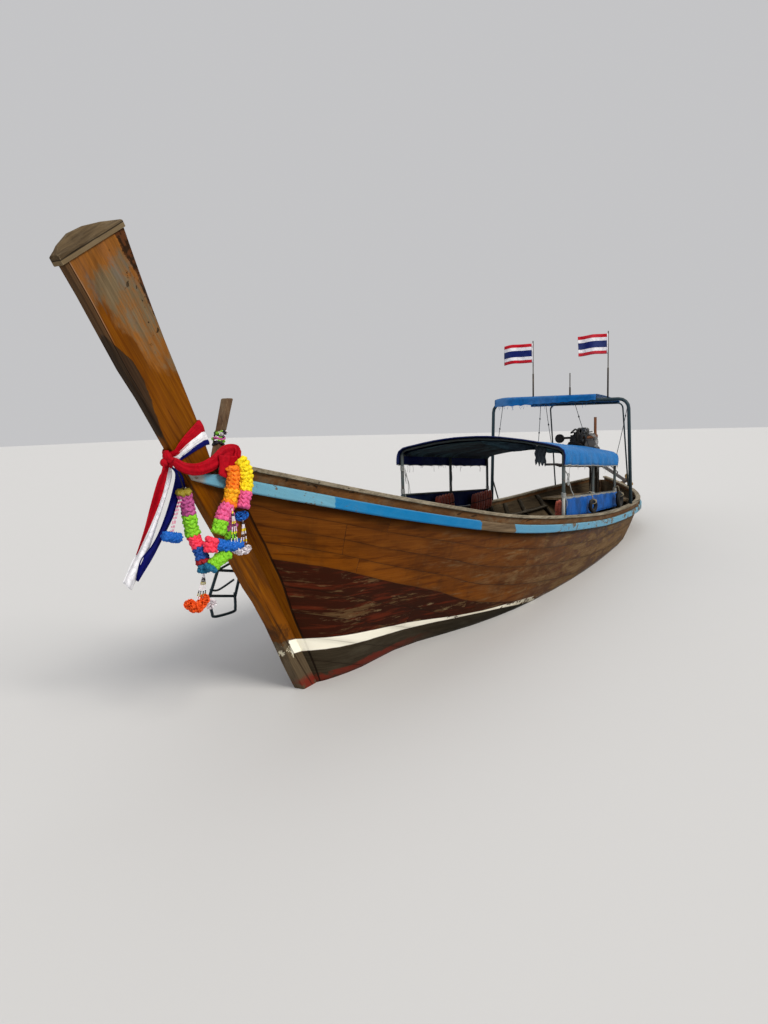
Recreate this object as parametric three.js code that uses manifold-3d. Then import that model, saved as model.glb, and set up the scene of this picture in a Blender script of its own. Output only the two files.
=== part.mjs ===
// A wooden longtail boat, afloat: planked hull, raked prow with sashes and garlands,
// a low canopy, a stern hoop with an awning, and a diesel engine that swivels and
// tilts on a stern post with its long shaft and propeller.
// Millimetres. +X is the bow, +Y is port, +Z is up, and z = 0 is the waterline.

import * as THREE from 'three';
import { mergeVertices } from 'three/addons/utils/BufferGeometryUtils.js';
import Module from 'manifold-3d';

const wasm = await Module();
wasm.setup();

// Driving dimensions of the hull

const GAP = 0.4;                    // clearance left between pieces that touch
const PLANK = 32;                   // planking thickness
const KEEL_HALF = 49.6;             // half the width of keel, stem and stern post
const KEEL_DEPTH = 75;
const FRAME_DEPTH = 55;
const FRAME_THICK = 44;
const FRAME_GAP = 12;               // frames stand this far off the planking
const FRAME_AFT = -3960;
const FRAME_FORE = 4240;
const FRAME_COUNT = 13;
const FLOOR_TOP = -130;             // upper face of the floorboards
const FLOOR_BOARD = 22;
const SHELF_BELOW_SHEER = 190;      // upper face of the side shelf
const SHELF_WIDE = 100;
const SHELF_THICK = 30;
const RAIL_HIGH = 80;
const RAIL_THICK = 40;
const BULWARK_HIGH = 60;
const BULWARK_THICK = 26;
const CAP_THICK = 28;
const CAP_IN = 55;                  // cap rail reaches this far inboard of the sheer
const CAP_OUT = 20;
const CAP_ABOVE_SHEER = BULWARK_HIGH + CAP_THICK + 2;

// Hull sections, port half, bow to stern. Columns: x at the keel and at the sheer, then
// the section's points from keel to sheer: keel z, bilge y z, waterline y, knee y z, sheer y z.
const SECTIONS = [
  // xKeel, xSheer, keelZ, bilgeY, bilgeZ, waterY, kneeY, kneeZ, sheerY, sheerZ
  [5210, 6270, -100, 50, -50, 50, 50, 1040, 50, 1620],
  [5080, 5720, -170, 60, -90, 110, 335, 900, 350, 1465],
  [4780, 5120, -250, 80, -150, 190, 450, 760, 610, 1308],
  [4200, 4300, -310, 130, -200, 265, 560, 500, 805, 1132],
  [3400, 3400, -350, 300, -230, 580, 720, 250, 912, 965],
  [2500, 2500, -370, 540, -260, 800, 915, 250, 1040, 838],
  [1200, 1200, -380, 690, -285, 960, 1030, 250, 1090, 690],
  [-300, -300, -385, 750, -295, 1040, 1085, 220, 1120, 545],
  [-2000, -2000, -380, 720, -290, 1030, 1095, 200, 1140, 455],
  [-3300, -3300, -350, 560, -270, 820, 970, 200, 1075, 425],
  [-4300, -4300, -290, 300, -230, 490, 680, 220, 830, 470],
  [-4950, -5100, -220, 120, -170, 210, 330, 260, 425, 540],
  [-5250, -5560, -150, 50, -80, 50, 50, 250, 50, 620],
];
const HULL_STEPS = 30;              // stations along the hull
const SCARF = 2;                    // section where the keel meets the stem
const SECTION_STEPS = 10;           // steps from keel to sheer

// Stem, prow and stern post, as outlines in the side view. Columns: x, z, half width

const STEM_FRONT = [[4960, -395, 46], [5180, -330, 45], [5335, -170, 43.5], [5430, -10, 43], [5495, 92, 42.8], [5573, 221, 42.5],
  [5605, 282, 42.4], [5689, 428, 42], [5761, 553, 41], [5885, 740, 39.6], [5978, 857, 38.7], [6118, 1073, 37], [6326, 1366, 32.4],
  [6501, 1620, 29.4], [6805, 2059, 25], [6919, 2205, 24.7], [7039, 2390, 24.4], [7132, 2534, 24.2], [7229, 2673, 24]];
const PROW_BACK = [[6280, 1640, 48], [6386, 1942, 28], [6505, 2185, 25], [6599, 2370, 24.5], [6679, 2538, 24.2], [6742, 2680, 24], [6845, 2922, 24]];
const STERN_POST_AFT = [[-5700, 600], [-5630, 250], [-5430, -170], [-5300, -245]];

// Canopy, hoop and awning

const POST_Y = 985;
const POST_X = [1600, 50, -1490];
const POST_R = 20;
const COVER_FORE = 1660;
const COVER_AFT = -1610;
const COVER_FALL = 0.068;           // the canopy drops aft by this much per unit
const COVER_PEAK = 1700;            // top of the arch at x = 1600
const COVER_THICK = 10;
const PANEL_TOP = 1000;             // top of the side panels at x = 1500
const PANEL_SLOPE = 0.072;
const HOOP_X = -2100;
const HOOP_Y = 1122;
const HOOP_TOP = 2150;
const HOOP_R = 26;
const HOOP_BEND = 150;
const REAR_HOOP_X = -4100;
const REAR_HOOP_TOP = 2120;
const REAR_HOOP_RAKE = 500;         // the feet stand this far aft of the top, clear of the engine's swing
const AWNING_AFT = -4160;
const AWNING_STARBOARD = -1040;
const AWNING_PORT = 590;
const POLE_R = 13;
const POLES = [[-405, 3116, 3075], [184, 2580, 0], [765, 3180, 3140]];  // y, top z, flag's top z or 0
const FLAG_LONG = 450;
const FLAG_HIGH = 300;
const FLAG_THICK = 6;
const WIND = [0.46, -0.888];        // the flags and the sash's tails fly this way

// Engine, in its own frame: origin at the tilt pivot, x forward along the tiller

const PIVOT = [-4900, 0, 1050];
const ENGINE_YAW = -3.6 * Math.PI / 180;
const SHAFT_FALL = 13.2 * Math.PI / 180;
const SHAFT_LONG = 2770;            // pivot to propeller
const TRUNNION_R = 16;
const TRUNNION_CLEAR = 0.4;
const RAIL_Y = 170;                 // engine bearers
const EAR_Y = 214;
const EAR_THICK = 20;
const TILLER_END = 2900;
const PROPELLER_R = 170;

// Materials

const finish = (color, roughness, metalness = 0) => new THREE.MeshStandardMaterial({ color, roughness, metalness });
const VARNISHED = finish(0x8a4a16, 0.45);
const WEATHERED = finish(0x8f8678, 0.85);
const PROW_WOOD = finish(0x9a6a34, 0.6);
const BARE_WOOD = finish(0x6f5a45, 0.8);
const BLUE_PAINT = finish(0x5fa9c8, 0.6);
const BLUE_TARP = finish(0x1567b4, 0.6);
const TUBE_GREY = finish(0x6d7478, 0.5, 0.4);
const BLACK_TUBE = finish(0x20262a, 0.5, 0.3);
const ENGINE_BLACK = finish(0x1d1f20, 0.5, 0.3);
const ENGINE_SILVER = finish(0xa9adb0, 0.4, 0.8);
const RUST = finish(0x6a3a22, 0.9, 0.2);
const BRONZE = finish(0x9a7a3a, 0.4, 0.9);
const BLACK_RUBBER = finish(0x18191a, 0.9);
const BLACK_CLOTH = finish(0x131416, 0.95);
const ORANGE_CLOTH = finish(0xd9591e, 0.8);
const RED_CLOTH = finish(0xc01826, 0.7);
const FLOWERS = finish(0xe87a1c, 0.9);
const STRIPED_CLOTH = finish(0x9a2033, 0.8);

// Solids

const boat = new THREE.Group();

function piece(name, material, geometry, group = boat) {
  const made = new THREE.Mesh(bare(geometry), material);
  made.name = name;
  group.add(made);
  return made;
}

// Only positions, with shared vertices merged and empty triangles left out
function bare(geometry) {
  if (geometry.userData.merged) return geometry;
  const copy = geometry.clone();
  copy.deleteAttribute('normal');
  copy.deleteAttribute('uv');
  const merged = mergeVertices(copy, 1e-3);
  const index = merged.index.array;
  const kept = [];
  for (let i = 0; i < index.length; i += 3) {
    const [a, b, c] = [index[i], index[i + 1], index[i + 2]];
    if (a !== b && b !== c && c !== a) kept.push(a, b, c);
  }
  merged.setIndex(kept);
  return merged;
}

function fromTriangles(points, triangles) {
  const geometry = new THREE.BufferGeometry();
  geometry.setAttribute('position', new THREE.Float32BufferAttribute(points.flat(), 3));
  geometry.setIndex(triangles.flat());
  return outward(geometry);
}

// Turns the faces round where the enclosed volume comes out negative
function outward(geometry) {
  const p = geometry.attributes.position;
  const index = geometry.index.array;
  const [a, b, c] = [new THREE.Vector3(), new THREE.Vector3(), new THREE.Vector3()];
  let volume = 0;
  for (let i = 0; i < index.length; i += 3) {
    a.fromBufferAttribute(p, index[i]);
    b.fromBufferAttribute(p, index[i + 1]);
    c.fromBufferAttribute(p, index[i + 2]);
    volume += a.dot(b.cross(c));
  }
  if (volume < 0) {
    for (let i = 0; i < index.length; i += 3) {
      [index[i + 1], index[i + 2]] = [index[i + 2], index[i + 1]];
    }
  }
  return geometry;
}

// Closed rings of equal length joined into a solid, with both ends capped.
// The caps are triangulated in the plane of the two axes named in capAxes.
function loft(rings, capAxes = [1, 2]) {
  const n = rings[0].length;
  const triangles = [];
  for (let i = 0; i + 1 < rings.length; i++) {
    for (let j = 0; j < n; j++) {
      const [a, b] = [i * n + j, i * n + (j + 1) % n];
      triangles.push([a, b, b + n], [a, b + n, a + n]);
    }
  }
  const last = (rings.length - 1) * n;
  const flat = rings[0].map((p) => new THREE.Vector2(p[capAxes[0]], p[capAxes[1]]));
  const clockwise = THREE.ShapeUtils.isClockWise(flat);
  const faces = THREE.ShapeUtils.triangulateShape(clockwise ? [...flat].reverse() : flat, []);
  const place = (k) => (clockwise ? n - 1 - k : k);
  const turned = capSign(rings, faces.map((f) => f.map(place)), triangles);
  for (const [a, b, c] of faces.map((f) => f.map(place))) {
    triangles.push(turned ? [a, b, c] : [a, c, b]);
    triangles.push(turned ? [last + a, last + c, last + b] : [last + a, last + b, last + c]);
  }
  return fromTriangles(rings.flat(), triangles);
}

// Whether the start cap must run a, b, c so that each edge is used once each way
function capSign(rings, faces, sides) {
  const used = new Set(sides.flatMap(([a, b, c]) => [`${a},${b}`, `${b},${c}`, `${c},${a}`]));
  for (const [a, b, c] of faces) {
    for (const [from, to] of [[a, b], [b, c], [c, a]]) {
      if (used.has(`${from},${to}`)) return false;
      if (used.has(`${to},${from}`)) return true;
    }
  }
  return true;
}

function solid(geometry) {
  const g = bare(geometry);
  const index = g.index.array;
  return new wasm.Manifold(new wasm.Mesh({
    numProp: 3,
    vertProperties: new Float32Array(g.attributes.position.array),
    triVerts: new Uint32Array(index),
  }));
}

function geometryOf(manifold) {
  const m = manifold.getMesh();
  const geometry = new THREE.BufferGeometry();
  geometry.setAttribute('position', new THREE.BufferAttribute(new Float32Array(m.vertProperties), 3));
  geometry.setIndex(new THREE.BufferAttribute(new Uint32Array(m.triVerts), 1));
  geometry.userData.merged = true;
  return geometry;
}

const union = (parts) => geometryOf(parts.map(solid).reduce((all, one) => all.add(one)));
const cut = (part, tools) => geometryOf(tools.map(solid).reduce((all, one) => all.subtract(one), solid(part)));

function box(x0, x1, y0, y1, z0, z1) {
  return new THREE.BoxGeometry(x1 - x0, y1 - y0, z1 - z0).translate((x0 + x1) / 2, (y0 + y1) / 2, (z0 + z1) / 2);
}

// A side-view outline [x, z] made y0 to y1 wide
function sidePlate(outline, y0, y1) {
  return loft([outline.map(([x, z]) => [x, y0, z]), outline.map(([x, z]) => [x, y1, z])], [0, 2]);
}

// A cross outline [y, z] run from x0 to x1
function crossBar(outline, x0, x1) {
  return loft([outline.map(([y, z]) => [x0, y, z]), outline.map(([y, z]) => [x1, y, z])]);
}

function rod(from, to, radius, sides = 10, radiusEnd = radius) {
  const a = new THREE.Vector3(...from);
  const b = new THREE.Vector3(...to);
  const g = new THREE.CylinderGeometry(radiusEnd, radius, a.distanceTo(b), sides);
  g.translate(0, a.distanceTo(b) / 2, 0);
  const up = new THREE.Vector3(0, 1, 0);
  g.applyQuaternion(new THREE.Quaternion().setFromUnitVectors(up, b.clone().sub(a).normalize()));
  return g.translate(a.x, a.y, a.z);
}

// A round pipe along straight runs, mitred at each bend
function pipe(points, radius, sides = 10) {
  const path = points.map((p) => new THREE.Vector3(...p));
  const step = path.slice(1).map((p, i) => p.clone().sub(path[i]).normalize());
  const start = Math.abs(step[0].z) > 0.9 ? new THREE.Vector3(1, 0, 0) : new THREE.Vector3(0, 0, 1);
  let side = start.cross(step[0]).normalize();
  const rings = path.map((p, i) => {
    const [before, after] = [step[Math.max(i - 1, 0)], step[Math.min(i, step.length - 1)]];
    const along = before.clone().add(after).normalize();
    side = side.clone().addScaledVector(along, -side.dot(along)).normalize();
    const other = along.clone().cross(side);
    const mitre = 1 / Math.max(along.dot(after), 0.5);
    const bend = after.clone().sub(before);
    const out = bend.lengthSq() > 1e-9 ? bend.normalize() : side;
    const ring = [];
    for (let k = 0; k < sides; k++) {
      const a = (k / sides) * 2 * Math.PI;
      const d = side.clone().multiplyScalar(Math.cos(a) * radius).addScaledVector(other, Math.sin(a) * radius);
      d.addScaledVector(out, d.dot(out) * (mitre - 1));
      ring.push(p.clone().add(d).toArray());
    }
    return ring;
  });
  return fan(rings);
}

// Rings joined into a solid whose ends are fans about their middles
function fan(rings) {
  const n = rings[0].length;
  const points = rings.flat();
  const triangles = [];
  for (let i = 0; i + 1 < rings.length; i++) {
    for (let j = 0; j < n; j++) {
      const [a, b] = [i * n + j, i * n + (j + 1) % n];
      triangles.push([a, b, b + n], [a, b + n, a + n]);
    }
  }
  const last = (rings.length - 1) * n;
  for (let j = 1; j + 1 < n; j++) triangles.push([0, j + 1, j], [last, last + j, last + j + 1]);
  return fromTriangles(points, triangles);
}

// A round tube along a smooth curve through the points
function tube(points, radius, steps, sides = 10, wide = 1) {
  const section = new THREE.Shape();
  for (let i = 0; i < sides; i++) {
    const a = (i / sides) * 2 * Math.PI;
    const [x, y] = [radius * Math.cos(a), radius * wide * Math.sin(a)];
    if (i === 0) section.moveTo(x, y);
    else section.lineTo(x, y);
  }
  section.closePath();
  const path = Array.isArray(points) ? new THREE.CatmullRomCurve3(points.map((p) => new THREE.Vector3(...p))) : points;
  return new THREE.ExtrudeGeometry(section, { steps, extrudePath: path });
}

function mirrored(geometry) {
  const g = bare(geometry).scale(1, -1, 1);
  return outward(g);
}

// Hull form

const column = (k, u) => {
  const i = Math.min(Math.floor(u), SECTIONS.length - 2);
  const t = u - i;
  const at = (j) => SECTIONS[Math.min(Math.max(j, 0), SECTIONS.length - 1)][k];
  const [p0, p1, p2, p3] = [at(i - 1), at(i), at(i + 1), at(i + 2)];
  // Smooth interpolation that keeps flat ends
  const [m1, m2] = [i === 0 ? p2 - p1 : (p2 - p0) / 2, i === SECTIONS.length - 2 ? p2 - p1 : (p3 - p1) / 2];
  return (2 * t ** 3 - 3 * t ** 2 + 1) * p1 + (t ** 3 - 2 * t ** 2 + t) * m1
    + (3 * t ** 2 - 2 * t ** 3) * p2 + (t ** 3 - t ** 2) * m2;
};

// The outer face of the planking at u, from keel to sheer: points [x, y, z]
function sectionAt(u, steps = SECTION_STEPS) {
  const [xKeel, xSheer, keelZ, bilgeY, bilgeZ, waterY, kneeY, kneeZ, sheerY, sheerZ] =
    SECTIONS[0].map((_, k) => column(k, u));
  const curve = new THREE.CatmullRomCurve3([
    new THREE.Vector3(0, 50, keelZ), new THREE.Vector3(0, bilgeY, bilgeZ), new THREE.Vector3(0, waterY, 0),
    new THREE.Vector3(0, kneeY, kneeZ), new THREE.Vector3(0, sheerY, sheerZ)], false, 'centripetal');
  const points = [];
  for (let i = 0; i <= steps; i++) {
    const p = curve.getPoint(i / steps);
    const rise = (p.z - keelZ) / (sheerZ - keelZ);
    points.push([xKeel + (xSheer - xKeel) * rise, Math.max(p.y, 50), p.z]);
  }
  return points;
}

// A section moved inwards by a distance square to itself
function inset(points, distance, least = 12) {
  return points.map(([x, y, z], i) => {
    const a = points[Math.max(i - 1, 0)];
    const b = points[Math.min(i + 1, points.length - 1)];
    const [dy, dz] = [b[1] - a[1], b[2] - a[2]];
    const long = Math.hypot(dy, dz);
    const top = i === points.length - 1 ? z : Infinity;
    return [x, Math.max(y - distance * dz / long, least), Math.min(z + distance * dy / long, top)];
  });
}

// The u of the section that passes through x at height z
function uAt(x, z) {
  let [low, high] = [0, SECTIONS.length - 1];
  for (let i = 0; i < 30; i++) {
    const mid = (low + high) / 2;
    const [keel, sheer] = [column(0, mid), column(1, mid)];
    const rise = (z - column(2, mid)) / (column(9, mid) - column(2, mid));
    if (keel + (sheer - keel) * rise > x) low = mid;
    else high = mid;
  }
  return (low + high) / 2;
}

// Half breadth of the hull's outer face at x, z
function outerBreadth(x, z) {
  const points = sectionAt(uAt(x, z), 24);
  for (let i = 0; i + 1 < points.length; i++) {
    const [a, b] = [points[i], points[i + 1]];
    if (z >= a[2] && z <= b[2]) return a[1] + (b[1] - a[1]) * (z - a[2]) / (b[2] - a[2]);
  }
  return points[z < 0 ? 0 : points.length - 1][1];
}

// Half breadth inside the planking, less a distance square to it
function innerBreadth(x, z, clear = 0) {
  const here = outerBreadth(x, z);
  const slopeX = (outerBreadth(x + 30, z) - outerBreadth(x - 30, z)) / 60;
  const slopeZ = (outerBreadth(x, z + 20) - outerBreadth(x, z - 20)) / 40;
  return here - (PLANK + clear) * Math.hypot(1, slopeX, slopeZ);
}

const sheerZ = (x) => column(9, uAtSheer(x));
const sheerY = (x) => column(8, uAtSheer(x));

function uAtSheer(x) {
  let [low, high] = [0, SECTIONS.length - 1];
  for (let i = 0; i < 30; i++) {
    const mid = (low + high) / 2;
    if (column(1, mid) > x) low = mid;
    else high = mid;
  }
  return (low + high) / 2;
}

const coverPeak = (x) => COVER_PEAK + (x - POST_X[0]) * COVER_FALL;
const panelTop = (x) => PANEL_TOP + (x - 1500) * PANEL_SLOPE;

// The planking's own stations between two of them, so that what lies on it follows its facets
function stations(from, to) {
  const all = [];
  for (let i = 0; i <= HULL_STEPS; i++) all.push(i / HULL_STEPS * (SECTIONS.length - 1));
  const inside = all.filter((u) => u > from + 0.05 && u < to - 0.05);
  return [from, ...inside, to];
}

// Planking, one side: outer and inner faces, with closed edges
function planking() {
  const rings = [];
  for (let i = 0; i <= HULL_STEPS; i++) {
    const outer = sectionAt(i / HULL_STEPS * (SECTIONS.length - 1));
    rings.push([...outer, ...inset(outer, PLANK).reverse()]);
  }
  return loft(rings);
}

function makeHull() {
  const side = planking();
  piece('hull_planking_port', VARNISHED, side);
  piece('hull_planking_starboard', VARNISHED, mirrored(side));

  const last = SECTIONS.length - 1;
  const keelLine = stations(SCARF, last).map((u) => [column(0, u), column(2, u) - GAP]);
  const under = keelLine.map(([x, z]) => [x, z - KEEL_DEPTH]).reverse();
  piece('keel', BARE_WOOD, sidePlate([...keelLine, ...under], -KEEL_HALF, KEEL_HALF));
}

// Opposite points of the stem's front and back lines, [x, z, half width] each, from the scarf upward.
// The lower back line is the forward edge of the planking, moved forward by the gap.
function stemPairs() {
  const keel = stations(0, SCARF).reverse().map((u) => [column(0, u), column(2, u) - GAP * 1.5, KEEL_HALF]);
  keel[0][0] += GAP;
  const line = sectionAt(0).map(([x, , z]) => [x + GAP * 1.5, z, KEEL_HALF]);
  keel[keel.length - 1] = line[0];
  const foot = [column(0, SCARF) + GAP, column(2, SCARF) - KEEL_DEPTH - GAP, KEEL_HALF];
  const [sheer, prow] = [STEM_FRONT.findIndex((p) => p[1] >= 1620), STEM_FRONT.findIndex((p) => p[1] >= 2200)];
  return [
    ...zipped([foot, ...STEM_FRONT.slice(0, 2)], keel),
    ...zipped(STEM_FRONT.slice(1, sheer + 1), line).slice(1),
    ...zipped(STEM_FRONT.slice(sheer, prow + 1), [line[line.length - 1], ...PROW_BACK.slice(0, 3)]).slice(1),
    ...zipped(STEM_FRONT.slice(prow), PROW_BACK.slice(2)).slice(1),
  ];
}

// Pairs of points at like shares of two lines, with every point of both kept
function zipped(first, second) {
  const shares = (line) => {
    const run = [0];
    for (let i = 1; i < line.length; i++) run.push(run[i - 1] + Math.hypot(line[i][0] - line[i - 1][0], line[i][1] - line[i - 1][1]));
    return run.map((r) => r / run[run.length - 1]);
  };
  const [a, b] = [shares(first), shares(second)];
  const at = (line, share, s, i) => line[i - 1].map((v, k) => v + (line[i][k] - v) * (s - share[i - 1]) / (share[i] - share[i - 1]));
  const pairs = [[first[0], second[0]]];
  for (let [i, j] = [1, 1]; i < a.length && j < b.length;) {
    if (Math.abs(a[i] - b[j]) < 0.03 || (i === a.length - 1 && j === b.length - 1)) pairs.push([first[i++], second[j++]]);
    else if (a[i] < b[j]) pairs.push([first[i], at(second, b, a[i++], j)]);
    else pairs.push([at(first, a, b[j], i), second[j++]]);
  }
  return pairs;
}

// A plate between opposite points, each [x, z, half width]
function throughPairs(pairs, capAxes, [out, side] = [0, 0]) {
  return loft(pairs.map(([front, back]) => [[front[0] + out, -front[2] - side, front[1]], [front[0] + out, front[2] + side, front[1]],
    [back[0] - out, back[2] + side, back[1]], [back[0] - out, -back[2] - side, back[1]]]), capAxes);
}

function makeStem() {
  piece('stem_and_prow', PROW_WOOD, throughPairs(stemPairs(), [1, 2]));

  // The cap lies on the prow's top, which falls forward. Columns: distance aft of the top's
  // front end, height of the band, height of the ridge, half width of the ridge
  const capSections = [[-17, 44, 52, 20], [8, 47, 66, 12], [32, 46, 80, 9], [121, 44, 102, 9], [229, 42, 96, 9], [336, 39, 74, 10], [462, 34, 38, 22]];
  const [fx, fz] = STEM_FRONT[STEM_FRONT.length - 1];
  const [bx, bz] = PROW_BACK[PROW_BACK.length - 1];
  const long = Math.hypot(fx - bx, fz - bz);
  const [ax, az] = [(bx - fx) / long, (bz - fz) / long];
  piece('prow_cap', WEATHERED, loft(capSections.map(([aft, band, ridge, top]) => [[-33, GAP], [-33, band], [-top, ridge], [top, ridge], [33, band], [33, GAP]]
    .map(([y, up]) => [fx + ax * aft + az * up, y, fz + az * aft - ax * up])), [0, 1]));

  // Inner timber between the two sides just behind the rabbet
  const rings = [];
  for (let i = 0; i <= 4; i++) {
    const z = 300 + i * 300;
    const [fore, aft] = [xRabbet(z) - 12, xRabbet(z) - 190];
    const [yf, ya] = [Math.max(innerBreadth(fore, z, 4), 6), Math.max(innerBreadth(aft, z, 4), 10)];
    rings.push([[fore, yf, z], [fore, -yf, z], [aft, -ya, z], [aft, ya, z]]);
  }
  piece('inner_stem', BARE_WOOD, loft(rings, [0, 1]));
}

function xRabbet(z) {
  const [xKeel, xSheer, keelZ] = SECTIONS[0];
  return xKeel + (xSheer - xKeel) * (z - keelZ) / (SECTIONS[0][9] - keelZ);
}

function makeSternPost() {
  const last = SECTIONS.length - 1;
  const line = sectionAt(last).map(([x, , z]) => [x - GAP, z]);
  line[0][1] = column(2, last) - KEEL_DEPTH;
  const outline = [...line, ...STERN_POST_AFT];
  piece('stern_post', WEATHERED, sidePlate(outline, -KEEL_HALF, KEEL_HALF));
}

// A strip along the sheer: each corner is [distance outboard, height above the sheer]
function sheerStrip(corners, uFrom, uTo, ahead = []) {
  const rings = [...ahead];
  for (const u of stations(uFrom, uTo)) {
    const here = [column(1, u), column(8, u), column(9, u)];
    const [a, b] = [Math.max(u - 0.02, 0), Math.min(u + 0.02, SECTIONS.length - 1)];
    const [dx, dy] = [column(1, b) - column(1, a), column(8, b) - column(8, a)];
    const long = Math.hypot(dx, dy);
    const [nx, ny] = [dy / long, -dx / long];
    rings.push(corners.map(([out, up]) => [here[0] + nx * out, Math.max(here[1] + ny * out, KEEL_HALF + GAP), here[2] + up]));
  }
  return loft(rings);
}

function makeRails() {
  const last = SECTIONS.length - 1;
  const strips = {
    rub_rail: [BLUE_PAINT, [[2, 0], [RAIL_THICK, 0], [RAIL_THICK, -RAIL_HIGH], [2, -RAIL_HIGH]], 0, last],
    bulwark: [VARNISHED, [[-BULWARK_THICK, GAP], [-3, GAP], [-3, BULWARK_HIGH], [-BULWARK_THICK, BULWARK_HIGH]], 0.12, last - 0.12],
    cap_rail: [WEATHERED, [[-CAP_IN, BULWARK_HIGH + GAP], [CAP_OUT, BULWARK_HIGH + GAP],
      [CAP_OUT, BULWARK_HIGH + GAP + CAP_THICK], [-CAP_IN, BULWARK_HIGH + GAP + CAP_THICK]], 0.12, last - 0.12],
  };
  // The rub rails lap forward over the stem's sides. Columns: x, y, z
  const nose = [[6514, 33, 1643], [6514, 60, 1643], [6484, 62, 1601], [6484, 35, 1601]];
  for (const [name, [material, corners, from, to]] of Object.entries(strips)) {
    const strip = sheerStrip(corners, from, to, name === 'rub_rail' ? [nose] : []);
    piece(`${name}_port`, material, strip);
    piece(`${name}_starboard`, material, mirrored(strip));
  }
}

// One frame: a rib inside both sides, with a floor beam across it
function frameSolid(x) {
  const ring = (xAt) => {
    const section = sectionAt(uAt(xAt, 0));
    const cutTop = section.map(([, y, z]) => [xAt, y, z]);
    const outer = inset(cutTop, PLANK + FRAME_GAP, 0);
    const inner = inset(cutTop, PLANK + FRAME_GAP + FRAME_DEPTH, 0);
    outer[0][1] = 0;
    inner[0][1] = 0;
    outer[0][2] = Math.max(outer[0][2], outer[1][2]);
    inner[0][2] = Math.max(inner[0][2], inner[1][2]);
    const flip = (line) => line.slice(1).reverse().map(([a, y, z]) => [a, -y, z]);
    return [...flip(outer), ...outer, ...[...inner].reverse(), ...flip(inner).reverse()];
  };
  const rib = loft([ring(x - FRAME_THICK / 2), ring(x + FRAME_THICK / 2)]);
  const top = FLOOR_TOP - FLOOR_BOARD - GAP;
  const reach = Math.min(innerBreadth(x - 30, top - 55, 24), innerBreadth(x + 30, top - 55, 24));
  const beam = box(x - FRAME_THICK / 2, x + FRAME_THICK / 2, -reach, reach, top - 55, top);
  return union([rib, beam]);
}

const frameX = (i) => FRAME_AFT + (FRAME_FORE - FRAME_AFT) * i / (FRAME_COUNT - 1);

function sideShelf() {
  const rings = [];
  for (let i = 0; i <= 16; i++) {
    const x = FRAME_AFT + (FRAME_FORE - FRAME_AFT) * i / 16;
    const top = sheerZ(x) - SHELF_BELOW_SHEER;
    const out = Math.min(innerBreadth(x, top, 10), innerBreadth(x, top - SHELF_THICK, 10));
    rings.push([[x, out, top], [x, out - SHELF_WIDE, top], [x, out - SHELF_WIDE, top - SHELF_THICK], [x, out, top - SHELF_THICK]]);
  }
  return loft(rings);
}

function makeFrames() {
  const parts = [];
  for (let i = 0; i < FRAME_COUNT; i++) parts.push(frameSolid(frameX(i)));
  const shelf = sideShelf();
  const keelTop = Math.max(...[0, 0.5, 1].map((t) => column(2, 6 + t))) + PLANK + 10;
  const keelson = box(FRAME_AFT + 100, FRAME_FORE - 500, -60, 60, keelTop + 60, FLOOR_TOP - FLOOR_BOARD - 20);
  piece('frames_and_keelson', BARE_WOOD, union([...parts, shelf, mirrored(shelf), keelson]));
}

// A flat board that follows the inside of the hull, at a height that may follow the sheer
function fittedDeck(xAft, xFore, steps, topAt, thick, clear) {
  const rings = [];
  for (let i = 0; i <= steps; i++) {
    const x = xAft + (xFore - xAft) * i / steps;
    const top = topAt(x);
    const half = Math.min(innerBreadth(x, top, clear), innerBreadth(x, top - thick, clear));
    rings.push([[x, half, top], [x, -half, top], [x, -half, top - thick], [x, half, top - thick]]);
  }
  return loft(rings);
}

function makeDecks() {
  piece('foredeck', WEATHERED, fittedDeck(4275, 5930, 6, (x) => sheerZ(x) - 60, 30, 6));
  piece('stern_deck', WEATHERED, fittedDeck(-5330, -4060, 6, () => 395, 40, 6));
  piece('floorboards', BARE_WOOD, fittedDeck(-3700, 3300, 10, () => FLOOR_TOP, FLOOR_BOARD, FRAME_DEPTH + 30));
  const thwarts = [2650, 900, -650];
  thwarts.forEach((x, i) => {
    const top = sheerZ(x) - SHELF_BELOW_SHEER + 30 + GAP;
    const half = Math.min(innerBreadth(x - 110, top, FRAME_DEPTH + 14), innerBreadth(x + 110, top, FRAME_DEPTH + 14));
    const lift = Math.abs(sheerZ(x + 110) - sheerZ(x - 110)) / 2;
    piece(`thwart_${i + 1}`, BARE_WOOD, box(x - 110, x + 110, -half, half, top - 22 + lift, top + 8 + lift));
  });
}

function makeBowPost() {
  // A mooring post that leans aft behind the prow
  const rings = [[6238, 1642, 23, 24], [6180, 1800, 23, 24], [6073, 2072, 26, 26]].map(([x, z, halfX, halfY]) => [
    [x - halfX, halfY, z], [x - halfX, -halfY, z], [x + halfX, -halfY, z], [x + halfX, halfY, z]]);
  piece('bow_post', WEATHERED, loft(rings, [0, 1]));
}

// Half arch of the canopy, starboard valance to port valance: [y, z below the peak]
function coverLine(insetBy) {
  const line = [[1020, -330], [1020, -215], [1000, -165], [945, -125], [790, -90], [540, -42], [270, -11], [0, 0]];
  const port = line.map(([y, z], i) => {
    const a = line[Math.max(i - 1, 0)];
    const b = line[Math.min(i + 1, line.length - 1)];
    const long = Math.hypot(b[0] - a[0], b[1] - a[1]);
    return [y - insetBy * (b[1] - a[1]) / long, z - insetBy * Math.abs(b[0] - a[0]) / long];
  });
  port[port.length - 1][0] = 0;
  port[0][1] = line[0][1];
  const starboard = port.slice(0, -1).reverse().map(([y, z]) => [-y, z]);
  return [...port, ...starboard];
}

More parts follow.
